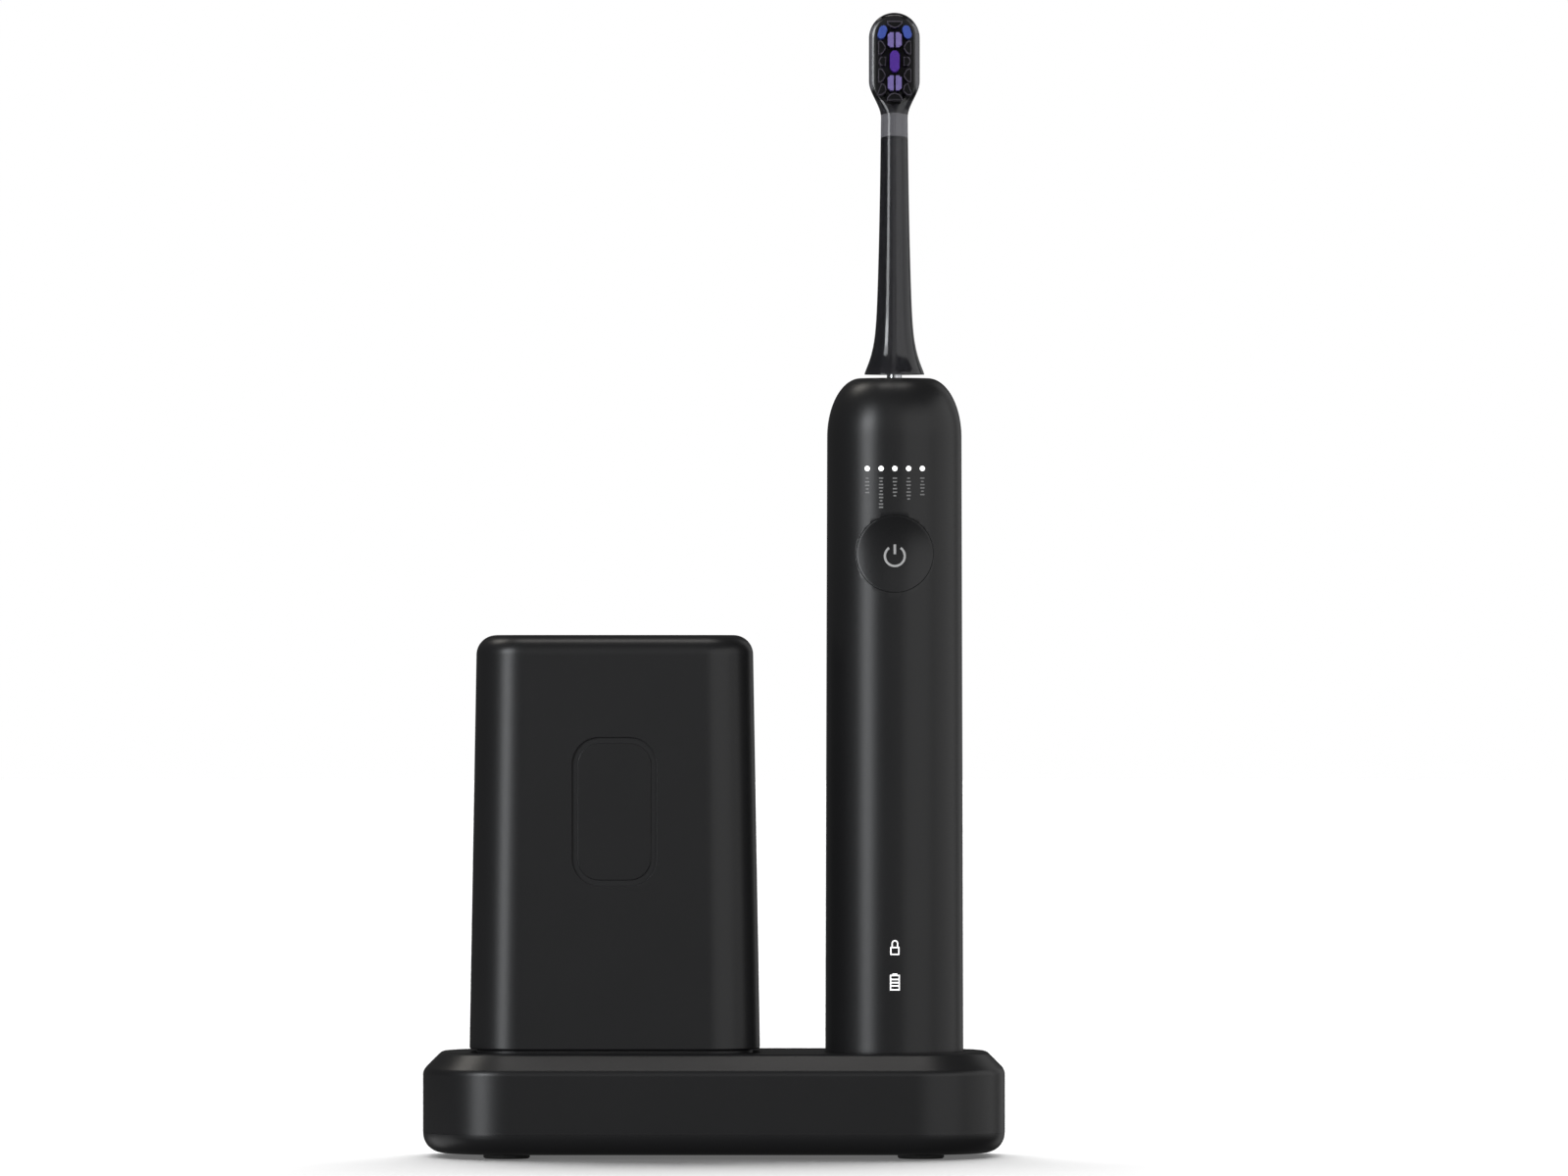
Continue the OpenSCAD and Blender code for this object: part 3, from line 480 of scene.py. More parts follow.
def soft_light(name, azimuth, elevation, distance, width, height, radiance, colour=(1, 1, 1), glossy=True):
    """A flat panel that faces the object, at an angle to the left of the camera, of a given brightness."""
    lamp = bpy.data.lights.new(name, "AREA")
    lamp.shape = "RECTANGLE"
    lamp.size = width
    lamp.size_y = height
    lamp.energy = radiance * math.pi * width * height
    lamp.color = colour
    panel = bpy.data.objects.new(name, lamp)
    around = math.radians(azimuth)
    up = math.radians(elevation)
    target = Vector((VIEW_X, 0, AIM_Z))
    away = Vector((-math.sin(around) * math.cos(up), -math.cos(around) * math.cos(up), math.sin(up)))
    panel.location = target + distance * away
    panel.rotation_euler = away.to_track_quat("Z", "Y").to_euler()
    panel.visible_camera = False
    panel.visible_glossy = glossy
    bpy.context.scene.collection.objects.link(panel)
    panel.light_linking.receiver_collection = all_but_floor


def light_floor():
    """High light from behind that falls on the floor alone, so that it is white but for a soft shadow."""
    lamp = bpy.data.lights.new("floor_light", "SUN")
    lamp.energy = FLOOR_SUN
    lamp.angle = math.radians(85)
    sun = bpy.data.objects.new("floor_light", lamp)
    sun.rotation_euler = (math.radians(-52), 0, 0)
    bpy.context.scene.collection.objects.link(sun)
    floor_only = bpy.data.collections.new("floor_only")
    floor_only.objects.link(paper_floor)
    sun.light_linking.receiver_collection = floor_only


set_camera()
paper_floor = set_stage()
all_but_floor = without(paper_floor)
set_world(0.06)
soft_light("key_strip", 46, 10, 0.9, 0.29, 0.76, 4.7, (0.95, 0.975, 1.0))
soft_light("key_core", 47, 19, 0.88, 0.28, 0.2, 4.5, (0.94, 0.97, 1.0))
soft_light("right_near", -40, 12, 1.5, 1.46, 1.25, 0.88)
soft_light("right_far", -97, 12, 1.5, 1.6, 1.25, 0.7)
soft_light("front_panel", 0, 20, 1.6, 0.5, 1.4, 0.3)
soft_light("overhead", 180, 88, 1.4, 0.75, 0.42, 2.6, (1.0, 0.97, 0.94))
soft_light("upper_left", 120, 52, 1.3, 0.42, 0.36, 3.6, (1.0, 0.96, 0.89))
soft_light("right_back", -146, 5, 1.2, 0.4, 1.4, 0.35)
soft_light("floor_glow", 108, -30, 0.6, 0.5, 0.25, 0.7)
soft_light("front_soft", 12, 20, 1.6, 1.6, 1.2, 2.6, glossy=False)
light_floor()
bpy.context.scene.view_settings.view_transform = "Standard"
bpy.context.scene.view_settings.look = "None"

# ---------------------------------------------------------------- charging base


INLET_W = 9.5
INLET_H = 3.8
INLET_R = 1.85
INLET_DEEP = 6
POCKET_IN_X = 2.6
POCKET_IN_Y = 2.8
POCKET_R = 8.7
RIM_SOFT = 0.25
SCREW_HEAD_R = 2.4
SINK_R = 2.6
SINK_DEPTH = 1.4


def make_base_shell():
    """The upper part of the base, with the brush's seat, the tray's pocket and the hole for the inlet."""
    low = base_low.z + BOTTOM_ROUND + PARTING / 2
    length = shell_high.x - shell_low.x
    depth = shell_high.y - shell_low.y
    bm = rounded_block(length, depth, low, BASE_TOP, BASE_CORNER, segments=32)
    soften(bm, flat_edges(bm, BASE_TOP), TOP_CHAMFER, 1)
    soften(bm, flat_edges(bm, BASE_TOP) + flat_edges(bm, BASE_TOP - TOP_CHAMFER), EDGE_SOFT, 4)
    seat = rod(FOOT_R + SEAT_GAP, handle_foot, BASE_TOP + 2, brush_x, segments=128)
    pocket_l = tray_high.x - tray_low.x - POCKET_IN_X
    pocket_d = tray_high.y - tray_low.y - POCKET_IN_Y
    pocket = rounded_block(pocket_l, pocket_d, BASE_TOP - POCKET_DEPTH, BASE_TOP + 2, POCKET_R,
                           (tray_low.x + tray_high.x) / 2)
    inlet = slot_block(INLET_W, INLET_H, INLET_R, base_high.y - INLET_DEEP, base_high.y + 1,
                       middle("usb_socket"))
    post_bore = rod((post_high.x - post_low.x) / 2 + POST_GAP, low - 1, BASE_TOP, brush_x)
    bm = carved(bm, seat, pocket, inlet, post_bore)
    rims = sharp_edges(bm, lambda p: abs(p.z - BASE_TOP) < 0.01)
    rims += sharp_edges(bm, lambda p: p.y > base_high.y - 0.01 and abs(p.x) < INLET_W)
    soften(bm, rims, RIM_SOFT, 3)
    build("base_shell", bm, "charger", satin_abs, 32, ["base_housing"], True)


def make_base_bottom():
    """The round-edged floor of the base, with its four screw heads sunk."""
    high = base_low.z + BOTTOM_ROUND - PARTING / 2
    length = base_high.x - base_low.x
    depth = base_high.y - base_low.y
    bm = rounded_block(length, depth, base_low.z, high, BASE_CORNER, segments=32)
    soften(bm, flat_edges(bm, base_low.z), BOTTOM_ROUND - 0.15, 10)
    screws_low, screws_high = measured("base_screws")
    for x in (screws_low.x + SCREW_HEAD_R, screws_high.x - SCREW_HEAD_R):
        for y in (screws_low.y + SCREW_HEAD_R, screws_high.y - SCREW_HEAD_R):
            bm = carved(bm, rod(SINK_R, base_low.z - 1, base_low.z + SINK_DEPTH, x, y, 48))
    build("base_bottom", bm, "charger", satin_abs, 32, ["base_cover"], True)


# ---------------------------------------------------------------- storage box


def leaning_block(length, depth, low, high, corner, lean, top_round, centre_x):
    """A block that narrows evenly towards its top, with a round top edge."""
    bm = rounded_block(length, depth, low, high, corner, 0, 24)
    for v in bm.verts:
        if v.co.z > low + 0.01:
            v.co.x *= (length / 2 - lean) / (length / 2)
            v.co.y *= (depth / 2 - lean) / (depth / 2)
    soften(bm, flat_edges(bm, high), top_round, 12)
    bmesh.ops.translate(bm, vec=(centre_x, 0, 0), verts=bm.verts)
    return bm


COVER_WALL = 2.0
COVER_CORNER = 11.7
COVER_TOP_R = 4.3
COVER_LEAN = 1.5
GRIP_W = 18.6
GRIP_L = 32.6
GRIP_R = 6.0
GRIP_RING = 1.3
GRIP_DEPTH = 0.6
GRIP_RISE = 0.3
GRIP_Z = 76.0


def grip_block(side, margin, front, back):
    """A pad-shaped block on one wall of the cover. Its depths are measured in from the leaning wall."""
    rise = (GRIP_Z - cover_low.z) / (cover_high.z - cover_low.z)
    wall_y = -((cover_high.y - cover_low.y) / 2 - COVER_LEAN * rise)
    lean = math.atan(COVER_LEAN / (cover_high.z - cover_low.z))
    bm = slot_block(GRIP_W - 2 * margin, GRIP_L - 2 * margin, GRIP_R - margin, front, back,
                    Vector((0, 0, 0)), 16)
    bmesh.ops.rotate(bm, cent=(0, 0, 0), matrix=Matrix.Rotation(-lean, 3, "X"), verts=bm.verts)
    bmesh.ops.translate(bm, vec=(0, wall_y, 0), verts=bm.verts)
    if side < 0:
        bmesh.ops.rotate(bm, cent=(0, 0, 0), matrix=Matrix.Rotation(math.pi, 3, "Z"), verts=bm.verts)
    bmesh.ops.translate(bm, vec=((cover_low.x + cover_high.x) / 2, 0, GRIP_Z), verts=bm.verts)
    return bm


def make_grips():
    """Matt rings, darkened with painted shade, in the two grip recesses, each round a slightly raised satin
    pad.
    """
    for side, place_name in ((1, "front"), (-1, "back")):
        ring = grip_block(side, 0.02, GRIP_DEPTH - 0.05, GRIP_DEPTH + 0.2)
        # The ring's darker tone is painted shade of the recess edge.
        build("grip_ring_" + place_name, ring, "cover", matt_abs_painted_shade)
        pad = grip_block(side, GRIP_RING, GRIP_RISE, GRIP_DEPTH + 0.1)
        face = max(pad.faces, key=lambda f: f.calc_area() * (-side * f.normal.y))
        soften(pad, face.edges, 0.15, 3)
        build("grip_pad_" + place_name, pad, "cover", satin_abs, 32, weighted=True)


def make_cover():
    """The tall cover: a leaning shell, open below, with a grip recess front and back."""
    length = cover_high.x - cover_low.x
    depth = cover_high.y - cover_low.y
    centre_x = (cover_low.x + cover_high.x) / 2
    low, high = cover_low.z, cover_high.z
    bm = leaning_block(length, depth, low, high, COVER_CORNER, COVER_LEAN, COVER_TOP_R, centre_x)
    soften(bm, flat_edges(bm, low), 0.35, 3)
    inside = leaning_block(length - 2 * COVER_WALL, depth - 2 * COVER_WALL, low - 2, high - COVER_WALL,
                           COVER_CORNER - COVER_WALL, COVER_LEAN, COVER_TOP_R - COVER_WALL, centre_x)
    bm = carved(bm, inside, grip_block(1, 0, -8, GRIP_DEPTH), grip_block(-1, 0, -8, GRIP_DEPTH))

    def near_grip(p):
        return abs(p.x - centre_x) < GRIP_W and abs(p.z - GRIP_Z) < GRIP_L and abs(p.y) > depth / 2 - 3

    soften(bm, sharp_edges(bm, near_grip, 60), 0.1, 2)
    build("storage_cover", bm, "cover", satin_abs, 32, ["head_cover"], True)


TRAY_CORNER = 10.1
TRAY_FOOT_IN_X = 3.2
TRAY_FOOT_IN_Y = 3.4
TRAY_FOOT_CORNER = 8.4
TRAY_RIM_IN = 2.2
TRAY_RIM_CORNER = 9
TRAY_RIM_H = 3.2
WELL_IN = 5
WELL_CORNER = 7.6
PEG_R = 1.6
PEG_PITCH = 19


def make_tray():
    """The lift-out tray: a foot in the base's pocket, the lip under the cover, a rim and three pegs."""
    centre_x = (tray_low.x + tray_high.x) / 2
    length = tray_high.x - tray_low.x
    depth = tray_high.y - tray_low.y
    lip_top = cover_low.z
    foot = rounded_block(length - TRAY_FOOT_IN_X, depth - TRAY_FOOT_IN_Y, tray_low.z, BASE_TOP + 0.2,
                         TRAY_FOOT_CORNER, centre_x)
    soften(foot, flat_edges(foot, tray_low.z), 0.4, 3)
    lip = rounded_block(length, depth, BASE_TOP, lip_top, TRAY_CORNER, centre_x, 24)
    soften(lip, flat_edges(lip, lip_top), 0.2, 2)
    rim_top = lip_top + TRAY_RIM_H
    rim = rounded_block(length - TRAY_RIM_IN, depth - TRAY_RIM_IN, lip_top - 0.2, rim_top, TRAY_RIM_CORNER,
                        centre_x, 24)
    soften(rim, flat_edges(rim, rim_top), 0.3, 2)
    well = rounded_block(length - WELL_IN, depth - WELL_IN, lip_top, lip_top + 5, WELL_CORNER, centre_x, 24)
    bm = combined(combined(foot, lip, "UNION"), rim, "UNION")
    bm = carved(bm, well)
    for i in (-1, 0, 1):
        peg = rod(PEG_R, lip_top - 0.2, tray_high.z, centre_x + i * PEG_PITCH, segments=40)
        soften(peg, flat_edges(peg, tray_high.z), 0.9, 5)
        bm = combined(bm, peg, "UNION")
    build("storage_tray", bm, "tray", tray_abs, 32, ["head_tray"], True)


# ---------------------------------------------------------------- handle


def dish(x, z):
    """Depth of the button's face: concave down the handle, gently crowned across it."""
    front = -(handle_radius(button_z) - DISH_DEPTH)
    across = DISH_ACROSS_R - math.sqrt(DISH_ACROSS_R ** 2 - x * x)
    down = DISH_DOWN_R - math.sqrt(DISH_DOWN_R ** 2 - z * z)
    return front + across - down


ROOF = 2.6
VAULT_R = 7.0
VAULT_WIDEN = 6.0
VAULT_H = 11.4


def make_handle():
    """The handle's shell, turned from one outline, then bored for the button."""
    rows = 92
    span = shoulder_z - handle_foot
    outer = [(FOOT_R - 0.4, handle_foot), (FOOT_R - 0.12, handle_foot + 0.12), (FOOT_R, handle_foot + 0.4)]
    heights = [handle_foot + span * i / rows for i in range(1, rows)]
    heights += [shoulder_z + SHOULDER_H * math.sin(QUARTER * i / 28) for i in range(28)]
    outer += [(handle_radius(z), z) for z in heights]
    outer += [(CROWN_R + 0.12, handle_top - 0.03), (CROWN_R - 0.3, handle_top)]
    inner = [(CROWN_BORE_R + 0.2, handle_top), (CROWN_BORE_R, handle_top - 0.2)]
    inner += [(CROWN_BORE_R, handle_top - ROOF), (VAULT_R, handle_top - ROOF)]
    inner += [(VAULT_R + VAULT_WIDEN * math.sin(a), handle_top - ROOF - VAULT_H + VAULT_H * math.cos(a))
              for a in [QUARTER * i / 10 for i in range(1, 11)]]
    inner += [(FOOT_R - WALL, handle_foot)]
    bm = turned(outer + inner, 0, 192)
    hole = rod(BUTTON_R, 0, 20, 0, 0, 128)
    bmesh.ops.rotate(hole, cent=(0, 0, 0), matrix=Matrix.Rotation(QUARTER, 3, "X"), verts=hole.verts)
    bmesh.ops.translate(hole, vec=(0, 0, button_z), verts=hole.verts)
    bm = carved(bm, hole)

    def on_rim(p):
        near_button = math.hypot(p.x, p.z - button_z) < BUTTON_R + 0.05 and p.y < 0
        return near_button and abs(math.hypot(p.x, p.y) - handle_radius(p.z)) < 0.05

    soften(bm, sharp_edges(bm, on_rim, 30), 0.06, 2)
    bmesh.ops.translate(bm, vec=(brush_x, 0, 0), verts=bm.verts)
    build("handle_shell", bm, "handle", satin_abs, 32, ["handle_housing"])


def disc_rows(radius, rings, steps):
    """A flat disc that faces the front, made of rings."""
    bm = bmesh.new()
    verts = [bm.verts.new((radius * i / rings, 0, 0)) for i in range(rings + 1)]
    edges = [bm.edges.new(verts[i:i + 2]) for i in range(rings)]
    bmesh.ops.spin(bm, geom=verts + edges, cent=(0, 0, 0), axis=(0, 1, 0), angle=TURN,
                   steps=steps, use_merge=True)
    bmesh.ops.remove_doubles(bm, verts=bm.verts, dist=SAME_PLACE)
    return bm


def make_button():
    """The dished power button: a disc pressed to the dish and given its depth."""
    bm = disc_rows(CAP_R, 18, 96)
    for v in bm.verts:
        v.co.y = dish(v.co.x, v.co.z)
    rim = [e for e in bm.edges if e.is_boundary]
    made = bmesh.ops.extrude_edge_only(bm, edges=rim)
    back = [g for g in made["geom"] if isinstance(g, bmesh.types.BMVert)]
    for v in back:
        v.co.y = CAP_BACK_Y
    bmesh.ops.contextual_create(bm, geom=[e for e in bm.edges if e.is_boundary])
    bmesh.ops.recalc_face_normals(bm, faces=bm.faces)
    edge = sharp_edges(bm, lambda p: math.hypot(p.x, p.z) > CAP_R - 0.01 and p.y < CAP_BACK_Y - 0.1, 40)
    soften(bm, edge, 0.1, 3)
    bmesh.ops.translate(bm, vec=(brush_x, 0, button_z), verts=bm.verts)
    build("power_button", bm, "button", button_abs, 32, ["button_cap"])


def on_handle(bm, lift=0.03):
    """Lays a flat outline in x and z onto the front of the handle."""
    for v in bm.verts:
        across = v.co.x - brush_x
        v.co.y = -math.sqrt((handle_radius(v.co.z) + lift) ** 2 - across * across)


def on_button(bm, lift=0.03):
    """Lays a flat outline in x and z onto the button's dish."""
    for v in bm.verts:
        v.co.y = dish(v.co.x - brush_x, v.co.z - button_z) - lift


def flat_bar(bm, x, z, width, height, pieces=6):
    """A flat bar in x and z, split into short lengths so that it can bend."""
    made = bmesh.ops.create_grid(bm, x_segments=3, y_segments=pieces, size=0.5)
    verts = made["verts"]
    bmesh.ops.rotate(bm, cent=(0, 0, 0), matrix=Matrix.Rotation(QUARTER, 3, "X"), verts=verts)
    bmesh.ops.scale(bm, vec=(width, 1, height), verts=verts)
    bmesh.ops.translate(bm, vec=(x, 0, z), verts=verts)


def flat_ring(bm, x, z, outer, stroke, start, sweep, steps=48):
    """A flat arc in x and z; angles run clockwise from the top, in degrees."""
    a = math.radians(start)
    near, far = outer - stroke, outer
    radii = (near, (near + far) / 2, far)
    verts = [bm.verts.new((x + r * math.sin(a), 0, z + r * math.cos(a))) for r in radii]
    edges = [bm.edges.new(verts[i:i + 2]) for i in range(2)]
    bmesh.ops.spin(bm, geom=verts + edges, cent=(x, 0, z), axis=(0, 1, 0), angle=math.radians(sweep),
                   steps=steps, use_merge=abs(sweep) >= 360)


def facing_front(bm):
    """Merges doubles and turns flat marks to face the front."""
    bmesh.ops.remove_doubles(bm, verts=bm.verts, dist=SAME_PLACE)
    for f in bm.faces:
        f.normal_update()
    bmesh.ops.reverse_faces(bm, faces=[f for f in bm.faces if f.normal.y > 0])


MARK_DROP = 0.5
MARK_R = 2.43
MARK_STROKE = 0.5


def make_power_mark():
    """The plain power sign: a broken ring with a bar in its gap."""
    bm = bmesh.new()
    z = button_z - MARK_DROP
    flat_ring(bm, brush_x, z, MARK_R, MARK_STROKE, 35, 290)
    flat_bar(bm, brush_x, z + 1.48, 0.55, 2.15)
    facing_front(bm)
    on_button(bm)
    build("power_mark", bm, "button", print_grey)


LIGHT_PITCH = 3.02
LIGHT_R = 0.575
MARK_TOP = 1.75
TICK_PITCH = 0.72
TICK_H = 0.3
MARK_LENGTHS = (3.9, 7.1, 4.6, 5.3, 4.3)


def make_mode_lights():
    """Five round lights in a row above the button."""
    bm = bmesh.new()
    for i in range(5):
        x = brush_x + (i - 2) * LIGHT_PITCH
        flat_ring(bm, x, lights_z, LIGHT_R, LIGHT_R - 0.001, 0, 360, 24)
    facing_front(bm)
    on_handle(bm, 0.035)
    build("mode_lights", bm, "handle", lit_guide, replaces=["mode_light_pins"])


def make_mode_marks():
    """Rows of short ticks in place of the printed mode names."""
    bm = bmesh.new()
    for i, length in enumerate(MARK_LENGTHS):
        ticks = round(length / TICK_PITCH)
        x = brush_x + (i - 2) * LIGHT_PITCH
        for j in range(ticks):
            width = 0.95 if (i + 2 * j) % 3 else 0.6
            flat_bar(bm, x, lights_z - MARK_TOP - (j + 0.5) * length / ticks, width, TICK_H, 1)
    facing_front(bm)
    on_handle(bm)
    build("mode_marks", bm, "handle", print_dim)


LOCK_Z = 46.2
CELL_Z = 38.7


def make_icons():
    """A lit padlock and a lit battery gauge near the foot of the handle."""
    bm = bmesh.new()
    x, stroke = brush_x, 0.25
    body_w, body_h = 2.0, 1.75
    body_z = LOCK_Z - 0.75
    shackle_r = 0.72
    for side in (-1, 1):
        flat_bar(bm, x + side * (body_w - stroke) / 2, body_z, stroke, body_h)
        flat_bar(bm, x, body_z + side * (body_h - stroke) / 2, body_w - 2 * stroke, stroke)
        flat_bar(bm, x + side * (shackle_r - stroke / 2), body_z + body_h / 2 + 0.38, stroke, 0.76)
    flat_ring(bm, x, body_z + body_h / 2 + 0.76, shackle_r, stroke, -90, 180, 16)
    cell_w, cell_h = 2.15, 3.4
    cell_z = CELL_Z - 0.2
    for side in (-1, 1):
        flat_bar(bm, x + side * (cell_w - stroke) / 2, cell_z, stroke, cell_h)
        flat_bar(bm, x, cell_z + side * (cell_h - stroke) / 2, cell_w - 2 * stroke, stroke)
    flat_bar(bm, x, cell_z + cell_h / 2 + 0.14, 1.05, 0.28)
    for i in (-1, 0, 1):
        flat_bar(bm, x, cell_z + i * 0.7, cell_w - 2 * stroke, 0.28)
    facing_front(bm)
    on_handle(bm, 0.035)
    build("status_icons", bm, "handle", lit_guide)


# ---------------------------------------------------------------- brush head

NECK_STEPS = 64
BORE_R = 1.75
BORE_H = 20.6
foot_z = head_low.z
top_z = head_high.z
HEAD_HALF_T = 2.2
ROUND = 2.0
SQUARE_HEAD = 3.6
SQUARE_TIP = 2.4
TIP_FROM = 0.72
waist_z = foot_z + 56.6
head_shoulder_z = foot_z + 64.6
cap_z = top_z - HEAD_HALF_W


def blended(a, b, t):
    """Smooth step from a to b."""
    t = max(0.0, min(1.0, t))
    return a + (b - a) * t * t * (3 - 2 * t)


def head_section(z):
    """Half width, half thickness and squareness of the neck and head at a height."""
    r = neck_radius(z - foot_z)
    if z <= waist_z:
        return r, r, ROUND
    grow = (z - waist_z) / (head_shoulder_z - waist_z)
    half_w = blended(r, HEAD_HALF_W, grow)
    half_t = blended(r, HEAD_HALF_T, grow)
    square = blended(ROUND, SQUARE_HEAD, grow)
    if z > cap_z:
        rise = min(1.0, (z - cap_z) / (top_z - cap_z))
        half_w = HEAD_HALF_W * math.sqrt(max(0.0, 1 - rise * rise))
        near_tip = max(0.0, (rise - TIP_FROM) / (1 - TIP_FROM))
        half_t = HEAD_HALF_T * math.sqrt(max(0.0, 1 - near_tip ** 2.2 * 0.96))
        square = blended(SQUARE_HEAD, SQUARE_TIP, near_tip)
    return half_w, half_t, square


def section_point(angle, half_w, half_t, square):
    """A point on a section that goes from round to squarish."""
    c, s = math.cos(angle), math.sin(angle)
    power = 2.0 / square
    return (half_w * math.copysign(abs(c) ** power, c), half_t * math.copysign(abs(s) ** power, s))


def shape_loop(loop, angles, z, in_w=0.0, in_t=0.0):
    """Lays a loop of points on the head's section at a height, inset in width and in thickness."""
    half_w, half_t, square = head_section(z)
    for v, a in zip(loop, angles):
        x, y = section_point(a, half_w - in_w, half_t - in_t, square)
        v.co = (brush_x + x, y, z)


def next_loop(bm, loop):
    """Extrudes a loop once and returns the new one in the same order."""
    edges = [bm.edges.get((loop[i], loop[i - 1])) for i in range(len(loop))]
    made = bmesh.ops.extrude_edge_only(bm, edges=edges)["geom"]
    fresh = {g for g in made if isinstance(g, bmesh.types.BMVert)}
    return [next(e.other_vert(v) for e in v.link_edges if e.other_vert(v) in fresh) for v in loop]


def make_neck_shell():
    """The clear outside of the neck and head in one skin, with a hollow for the core."""
    bm = bmesh.new()
    loop = bmesh.ops.create_circle(bm, cap_ends=False, segments=NECK_STEPS, radius=1)["verts"]
    angles = [math.atan2(v.co.y, v.co.x) for v in loop]
    heights = [foot_z + 0.35 * i for i in range(12)] + [foot_z + 4.2 + 1.6 * i for i in range(32)]
    heights = [z for z in heights if z < waist_z]
    heights += [waist_z + (cap_z - waist_z) * i / 30 for i in range(31)]
    heights += [cap_z + (top_z - cap_z) * math.sin(QUARTER * i / 22) for i in range(1, 22)]
    shape_loop(loop, angles, heights[0])
    start = list(loop)
    for z in heights[1:]:
        loop = next_loop(bm, loop)
        shape_loop(loop, angles, z)
    bmesh.ops.contextual_create(bm, geom=loop)
    # The hollow runs up from the foot, inside the same skin.
    loop = start
    hollow_top = core_top - CORE_TIP
    inner = [foot_z] + [z for z in heights[1:] if z < hollow_top - 0.8] + [hollow_top]
    for z in inner:
        loop = next_loop(bm, loop)
        shape_loop(loop, angles, z, NECK_WALL, NECK_WALL)
    bmesh.ops.contextual_create(bm, geom=loop)
    tidy(bm)
    build("neck_and_head", bm, "brush_head", smoke_clear, 50, ["neck_shell"])


def make_neck_core():
    """The core that grips the shaft. It is moulded into the shell, so no air lies between them."""
    inset = NECK_WALL - 0.02
    body_top = core_top - CORE_TIP
    heights = [foot_z + 0.4 * i for i in range(12)] + [foot_z + 4.8 + 2 * i for i in range(24)]
    heights = [z for z in heights if z < body_top - 1]
    outer = [(neck_radius(z - foot_z) - inset, z) for z in heights]
    dome_r = neck_radius(body_top - foot_z) - inset
    outer += [(0.001 + dome_r * math.cos(a), body_top + CORE_TIP * math.sin(a))
              for a in [QUARTER * i / 10 for i in range(11)]]
    bore = [(0.001, foot_z + BORE_H), (BORE_R, foot_z + BORE_H), (BORE_R, foot_z)]
    bm = turned(outer + bore, brush_x, 64)
    build("neck_core_piece", bm, "brush_head", core_abs, 40, ["neck_core"])


def make_head_core():
    """The opaque heart of the head, behind and below the bristle plate."""
    bm = bmesh.new()
    low = foot_z + COLLAR_H
    loop = bmesh.ops.create_circle(bm, cap_ends=True, segments=NECK_STEPS, radius=1)["verts"]
    angles = [math.atan2(v.co.y, v.co.x) for v in loop]
    heights = [low + (cap_z - low) * i / 12 for i in range(13)]
    heights += [cap_z + (top_z - cap_z) * math.sin(QUARTER * i / 14) for i in range(1, 14)]
    heights = [z for z in heights if z < top_z - 1.3]
    for i, z in enumerate(heights):
        if i:
            loop = next_loop(bm, loop)
        shape_loop(loop, angles, z, HEAD_RIM + 0.1, 0.4)
    bmesh.ops.contextual_create(bm, geom=loop)
    tidy(bm)
    build("head_core", bm, "brush_head", head_abs, 40)


PLATE_R = (plate_high.x - plate_low.x) / 2


def make_plate():
    """The round-ended plate that holds the tufts."""
    centre = (plate_low + plate_high) / 2
    bm = slot_block(2 * PLATE_R, plate_high.z - plate_low.z, PLATE_R - 0.005, plate_low.y, plate_high.y,
                    centre, 20)
    soften(bm, [e for e in bm.edges if all(v.co.y < plate_low.y + 0.01 for v in e.verts)], 0.25, 3)
    build("tuft_plate", bm, "brush_head", plate_abs, 32, ["bristle_plate"], True)


def in_d(x, z, width, height, side):
    """Inside a D whose flat side is towards side in x."""
    x *= side
    r = (height * height / 4 + width * width) / (2 * width)
    return x <= width / 2 and math.hypot(x + width / 2 - r, z) <= r


def in_bean(x, z, width, height, side, corner):
    """Inside an upright block with round corners, except on its flat side."""
    x *= side
    over_x = max(0.0, corner - width / 2 - x)
    over_z = max(0.0, abs(z) - height / 2 + corner)
    return x <= width / 2 and math.hypot(over_x, over_z) <= corner


def in_bar(x, z, width, height):
    """Inside an upright bar with round ends."""
    over = max(0.0, abs(z) - (height - width) / 2)
    return math.hypot(x, over) <= width / 2


FILAMENT_D = 0.18
FILAMENT_PITCH = 0.2
ROW_PITCH = FILAMENT_PITCH * 0.866


def filament():
    """One bristle along y, with its tip at the origin: six-sided, with a rounded-off end."""
    bm = bmesh.new()
    ring = bmesh.ops.create_circle(bm, cap_ends=True, segments=6, radius=FILAMENT_D * 0.4)["verts"]
    bmesh.ops.rotate(bm, cent=(0, 0, 0), matrix=Matrix.Rotation(QUARTER, 3, "X"), verts=ring)
    for reach, radius in ((0.05, FILAMENT_D / 2), (plate_low.y + 0.3 - tuft_tip_y, FILAMENT_D / 2)):
        open_edges = [e for e in bm.edges if e.verts[0] in ring and e.verts[1] in ring]
        made = bmesh.ops.extrude_edge_only(bm, edges=open_edges)["geom"]
        ring = [g for g in made if isinstance(g, bmesh.types.BMVert)]
        for v in ring:
            out = Vector((v.co.x, v.co.z)).normalized() * radius
            v.co = (out.x, reach, out.y)
    bmesh.ops.recalc_face_normals(bm, faces=bm.faces)
    mesh = bpy.data.meshes.new("filament")
    bm.to_mesh(mesh)
    bm.free()
    return mesh


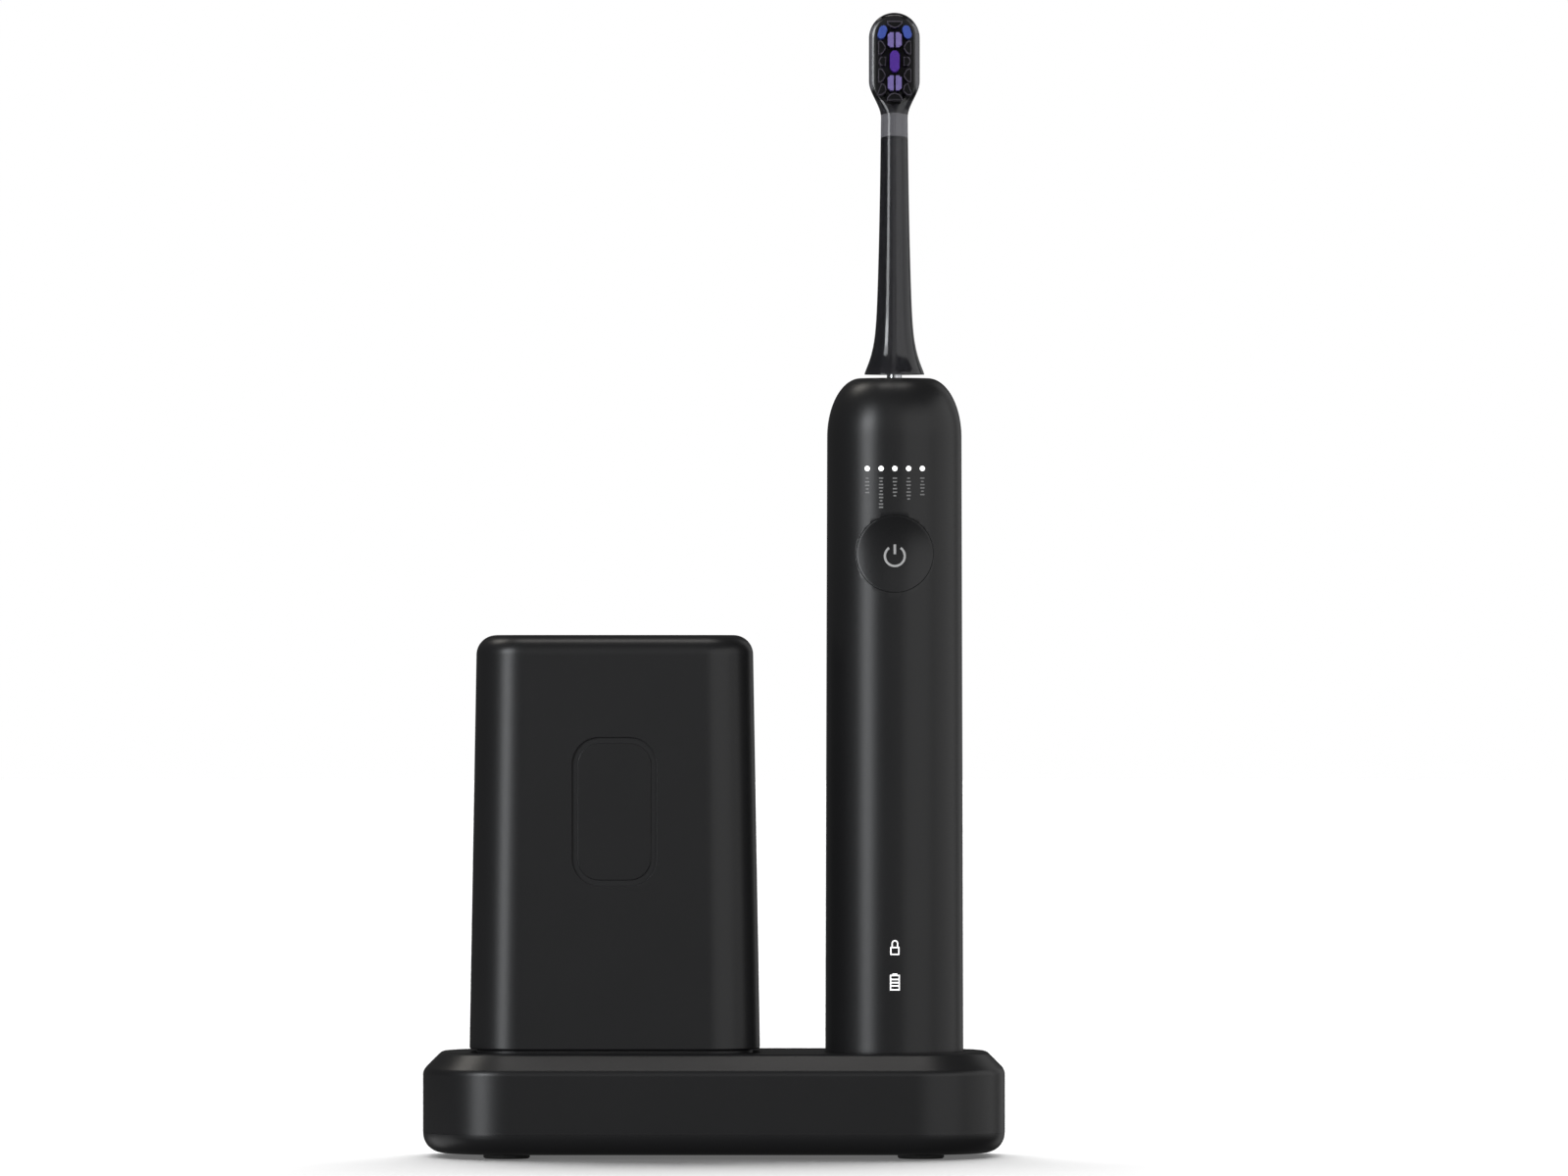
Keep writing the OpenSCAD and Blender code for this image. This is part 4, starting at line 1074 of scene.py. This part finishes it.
def add_filaments(bm, pattern, chance, inside, centre_x, centre_z, reach, turn):
    """Packs filaments side by side wherever the outline holds their centres. Each leans a little."""
    rows = int(reach / ROW_PITCH) + 1
    turned_by = Matrix.Rotation(math.radians(turn), 2)
    for j in range(-rows, rows + 1):
        for i in range(-rows, rows + 1):
            spot = Vector(((i + 0.5 * (j % 2)) * FILAMENT_PITCH, j * ROW_PITCH))
            if not inside(*spot):
                continue
            spot = turned_by @ (spot + Vector((chance.uniform(-0.02, 0.02), chance.uniform(-0.02, 0.02))))
            lean = Matrix.Identity(4)
            lean[0][1] = chance.uniform(-0.006, 0.006)
            lean[2][1] = chance.uniform(-0.006, 0.006)
            tip = Vector((centre_x + spot.x, tuft_tip_y + chance.uniform(0, 0.08), centre_z + spot.y))
            strand = pattern.copy()
            strand.transform(Matrix.Translation(tip) @ lean)
            bm.from_mesh(strand)
            bpy.data.meshes.remove(strand)


build_order = random.Random(7)
one_filament = filament()


def make_tufts(name, material, node, tufts, keep=lambda inside: inside):
    """All the tufts of one colour as one piece. Each is an outline, its place, its reach and its turn."""
    bm = bmesh.new()
    for inside, x, z, reach, turn in tufts:
        add_filaments(bm, one_filament, build_order, keep(inside), brush_x + x, z, reach, turn)
    build(name, bm, "brush_head", material, 60, [node] if node else [])


def heart(inside):
    """The middle of a tuft, without its outermost filaments."""
    return lambda x, z: all(inside(x + 0.13 * i, z + 0.13 * j) for i in (-1, 1) for j in (-1, 1))


def painted_sheen_fringe(inside):
    """The outermost filaments of a tuft, drawn lighter as a painted sheen."""
    return lambda x, z: inside(x, z) and not heart(inside)(x, z)


plate_mid = (plate_low.z + plate_high.z) / 2


def tuft_d(width, height, side):
    return lambda x, z: in_d(x, z, width, height, side)


def tuft_bean(width, height, side):
    return lambda x, z: in_bean(x, z, width, height, side, 0.95)


def tuft_bar(width, height):
    return lambda x, z: in_bar(x, z, width, height)


def make_all_tufts():
    black = []
    for s in (-1, 1):
        black.append((tuft_d(1.5, 3.0, s), s * 2.8, plate_mid + 2.5, 1.8, 0))
        black.append((tuft_d(1.5, 3.0, s), s * 2.8, plate_mid - 3.6, 1.8, 0))
        black.append((tuft_d(1.6, 1.75, -s), s * 2.7, plate_mid - 0.5, 1.5, 0))
        black.append((tuft_d(1.5, 2.7, s), s * 2.65, plate_mid - 6.8, 1.8, s * 20))
    black.append((tuft_d(1.45, 3.5, 1), 0, plate_mid + 7.55, 2.0, 90))
    black.append((tuft_d(1.5, 3.5, -1), 0, plate_mid - 8.25, 2.0, 90))
    make_tufts("bristles_black", bristle_black, "tufts_black", black, heart)
    # The outer filaments of the black tufts take a lighter grey: painted sheen.
    make_tufts("bristles_painted_sheen", bristle_painted_sheen, None, black, painted_sheen_fringe)
    lilac = [(tuft_bean(1.36, 3.3, -s), s * 0.87, plate_mid + z, 1.9, 0)
             for s in (-1, 1) for z in (4.2, -5.25)]
    make_tufts("bristles_lilac", bristle_lilac, "tufts_lilac", lilac)
    violet = [(tuft_bar(2.2, 4.7), 0, plate_mid - 0.5, 2.5, 0)]
    make_tufts("bristles_violet", bristle_violet, "tufts_violet", violet)
    blue = [(tuft_bar(1.62, 2.9), s * 2.7, plate_mid + 5.9, 1.8, s * 18) for s in (-1, 1)]
    make_tufts("bristles_blue", bristle_blue, "tufts_blue", blue)


# ---------------------------------------------------------------- parts that keep their own shape

FINISHES = {
    "charging_post": tray_abs,
    "base_gasket": silicone_grey, "base_feet": foot_rubber, "base_screws": plated_steel,
    "transmitter_coil": copper_wire, "transmitter_core": pressed_ferrite, "charger_board": solder_mask,
    "usb_socket": drawn_steel, "end_cap": tray_abs, "end_cap_seal": silicone_red,
    "receiver_coil": copper_wire,
    "receiver_ferrite": pressed_ferrite, "chassis": natural_abs, "battery_cell": shrink_sleeve,
    "battery_tabs": nickel_strip, "main_board": solder_mask, "board_components": moulded_epoxy,
    "board_screws": plated_steel, "mode_leds": led_lens, "icon_light_guide": nylon_white,
    "tact_switch": moulded_epoxy, "button_gasket": silicone_grey, "motor_case": plated_steel,
    "stator_core": drawn_steel, "stator_coil": copper_wire, "front_bearing": sintered_bronze,
    "rear_bearing": sintered_bronze, "motor_cushion": foot_rubber, "shaft_seal": foot_rubber,
    "drive_shaft": ground_stainless, "rotor_magnets": plated_steel, "switch_plunger": nylon_white,
    "shaft_clip": ground_stainless,
}


def finish_parts():
    """Gives each part that keeps its own shape its material."""
    for node, material in FINISHES.items():
        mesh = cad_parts[node].data
        mesh.materials.clear()
        mesh.materials.append(material)


make_base_shell()
make_base_bottom()
make_cover()
make_grips()
make_tray()
make_handle()
make_button()
make_power_mark()
make_mode_lights()
make_mode_marks()
make_icons()
make_neck_shell()
make_neck_core()
make_head_core()
make_plate()
make_all_tufts()
finish_parts()
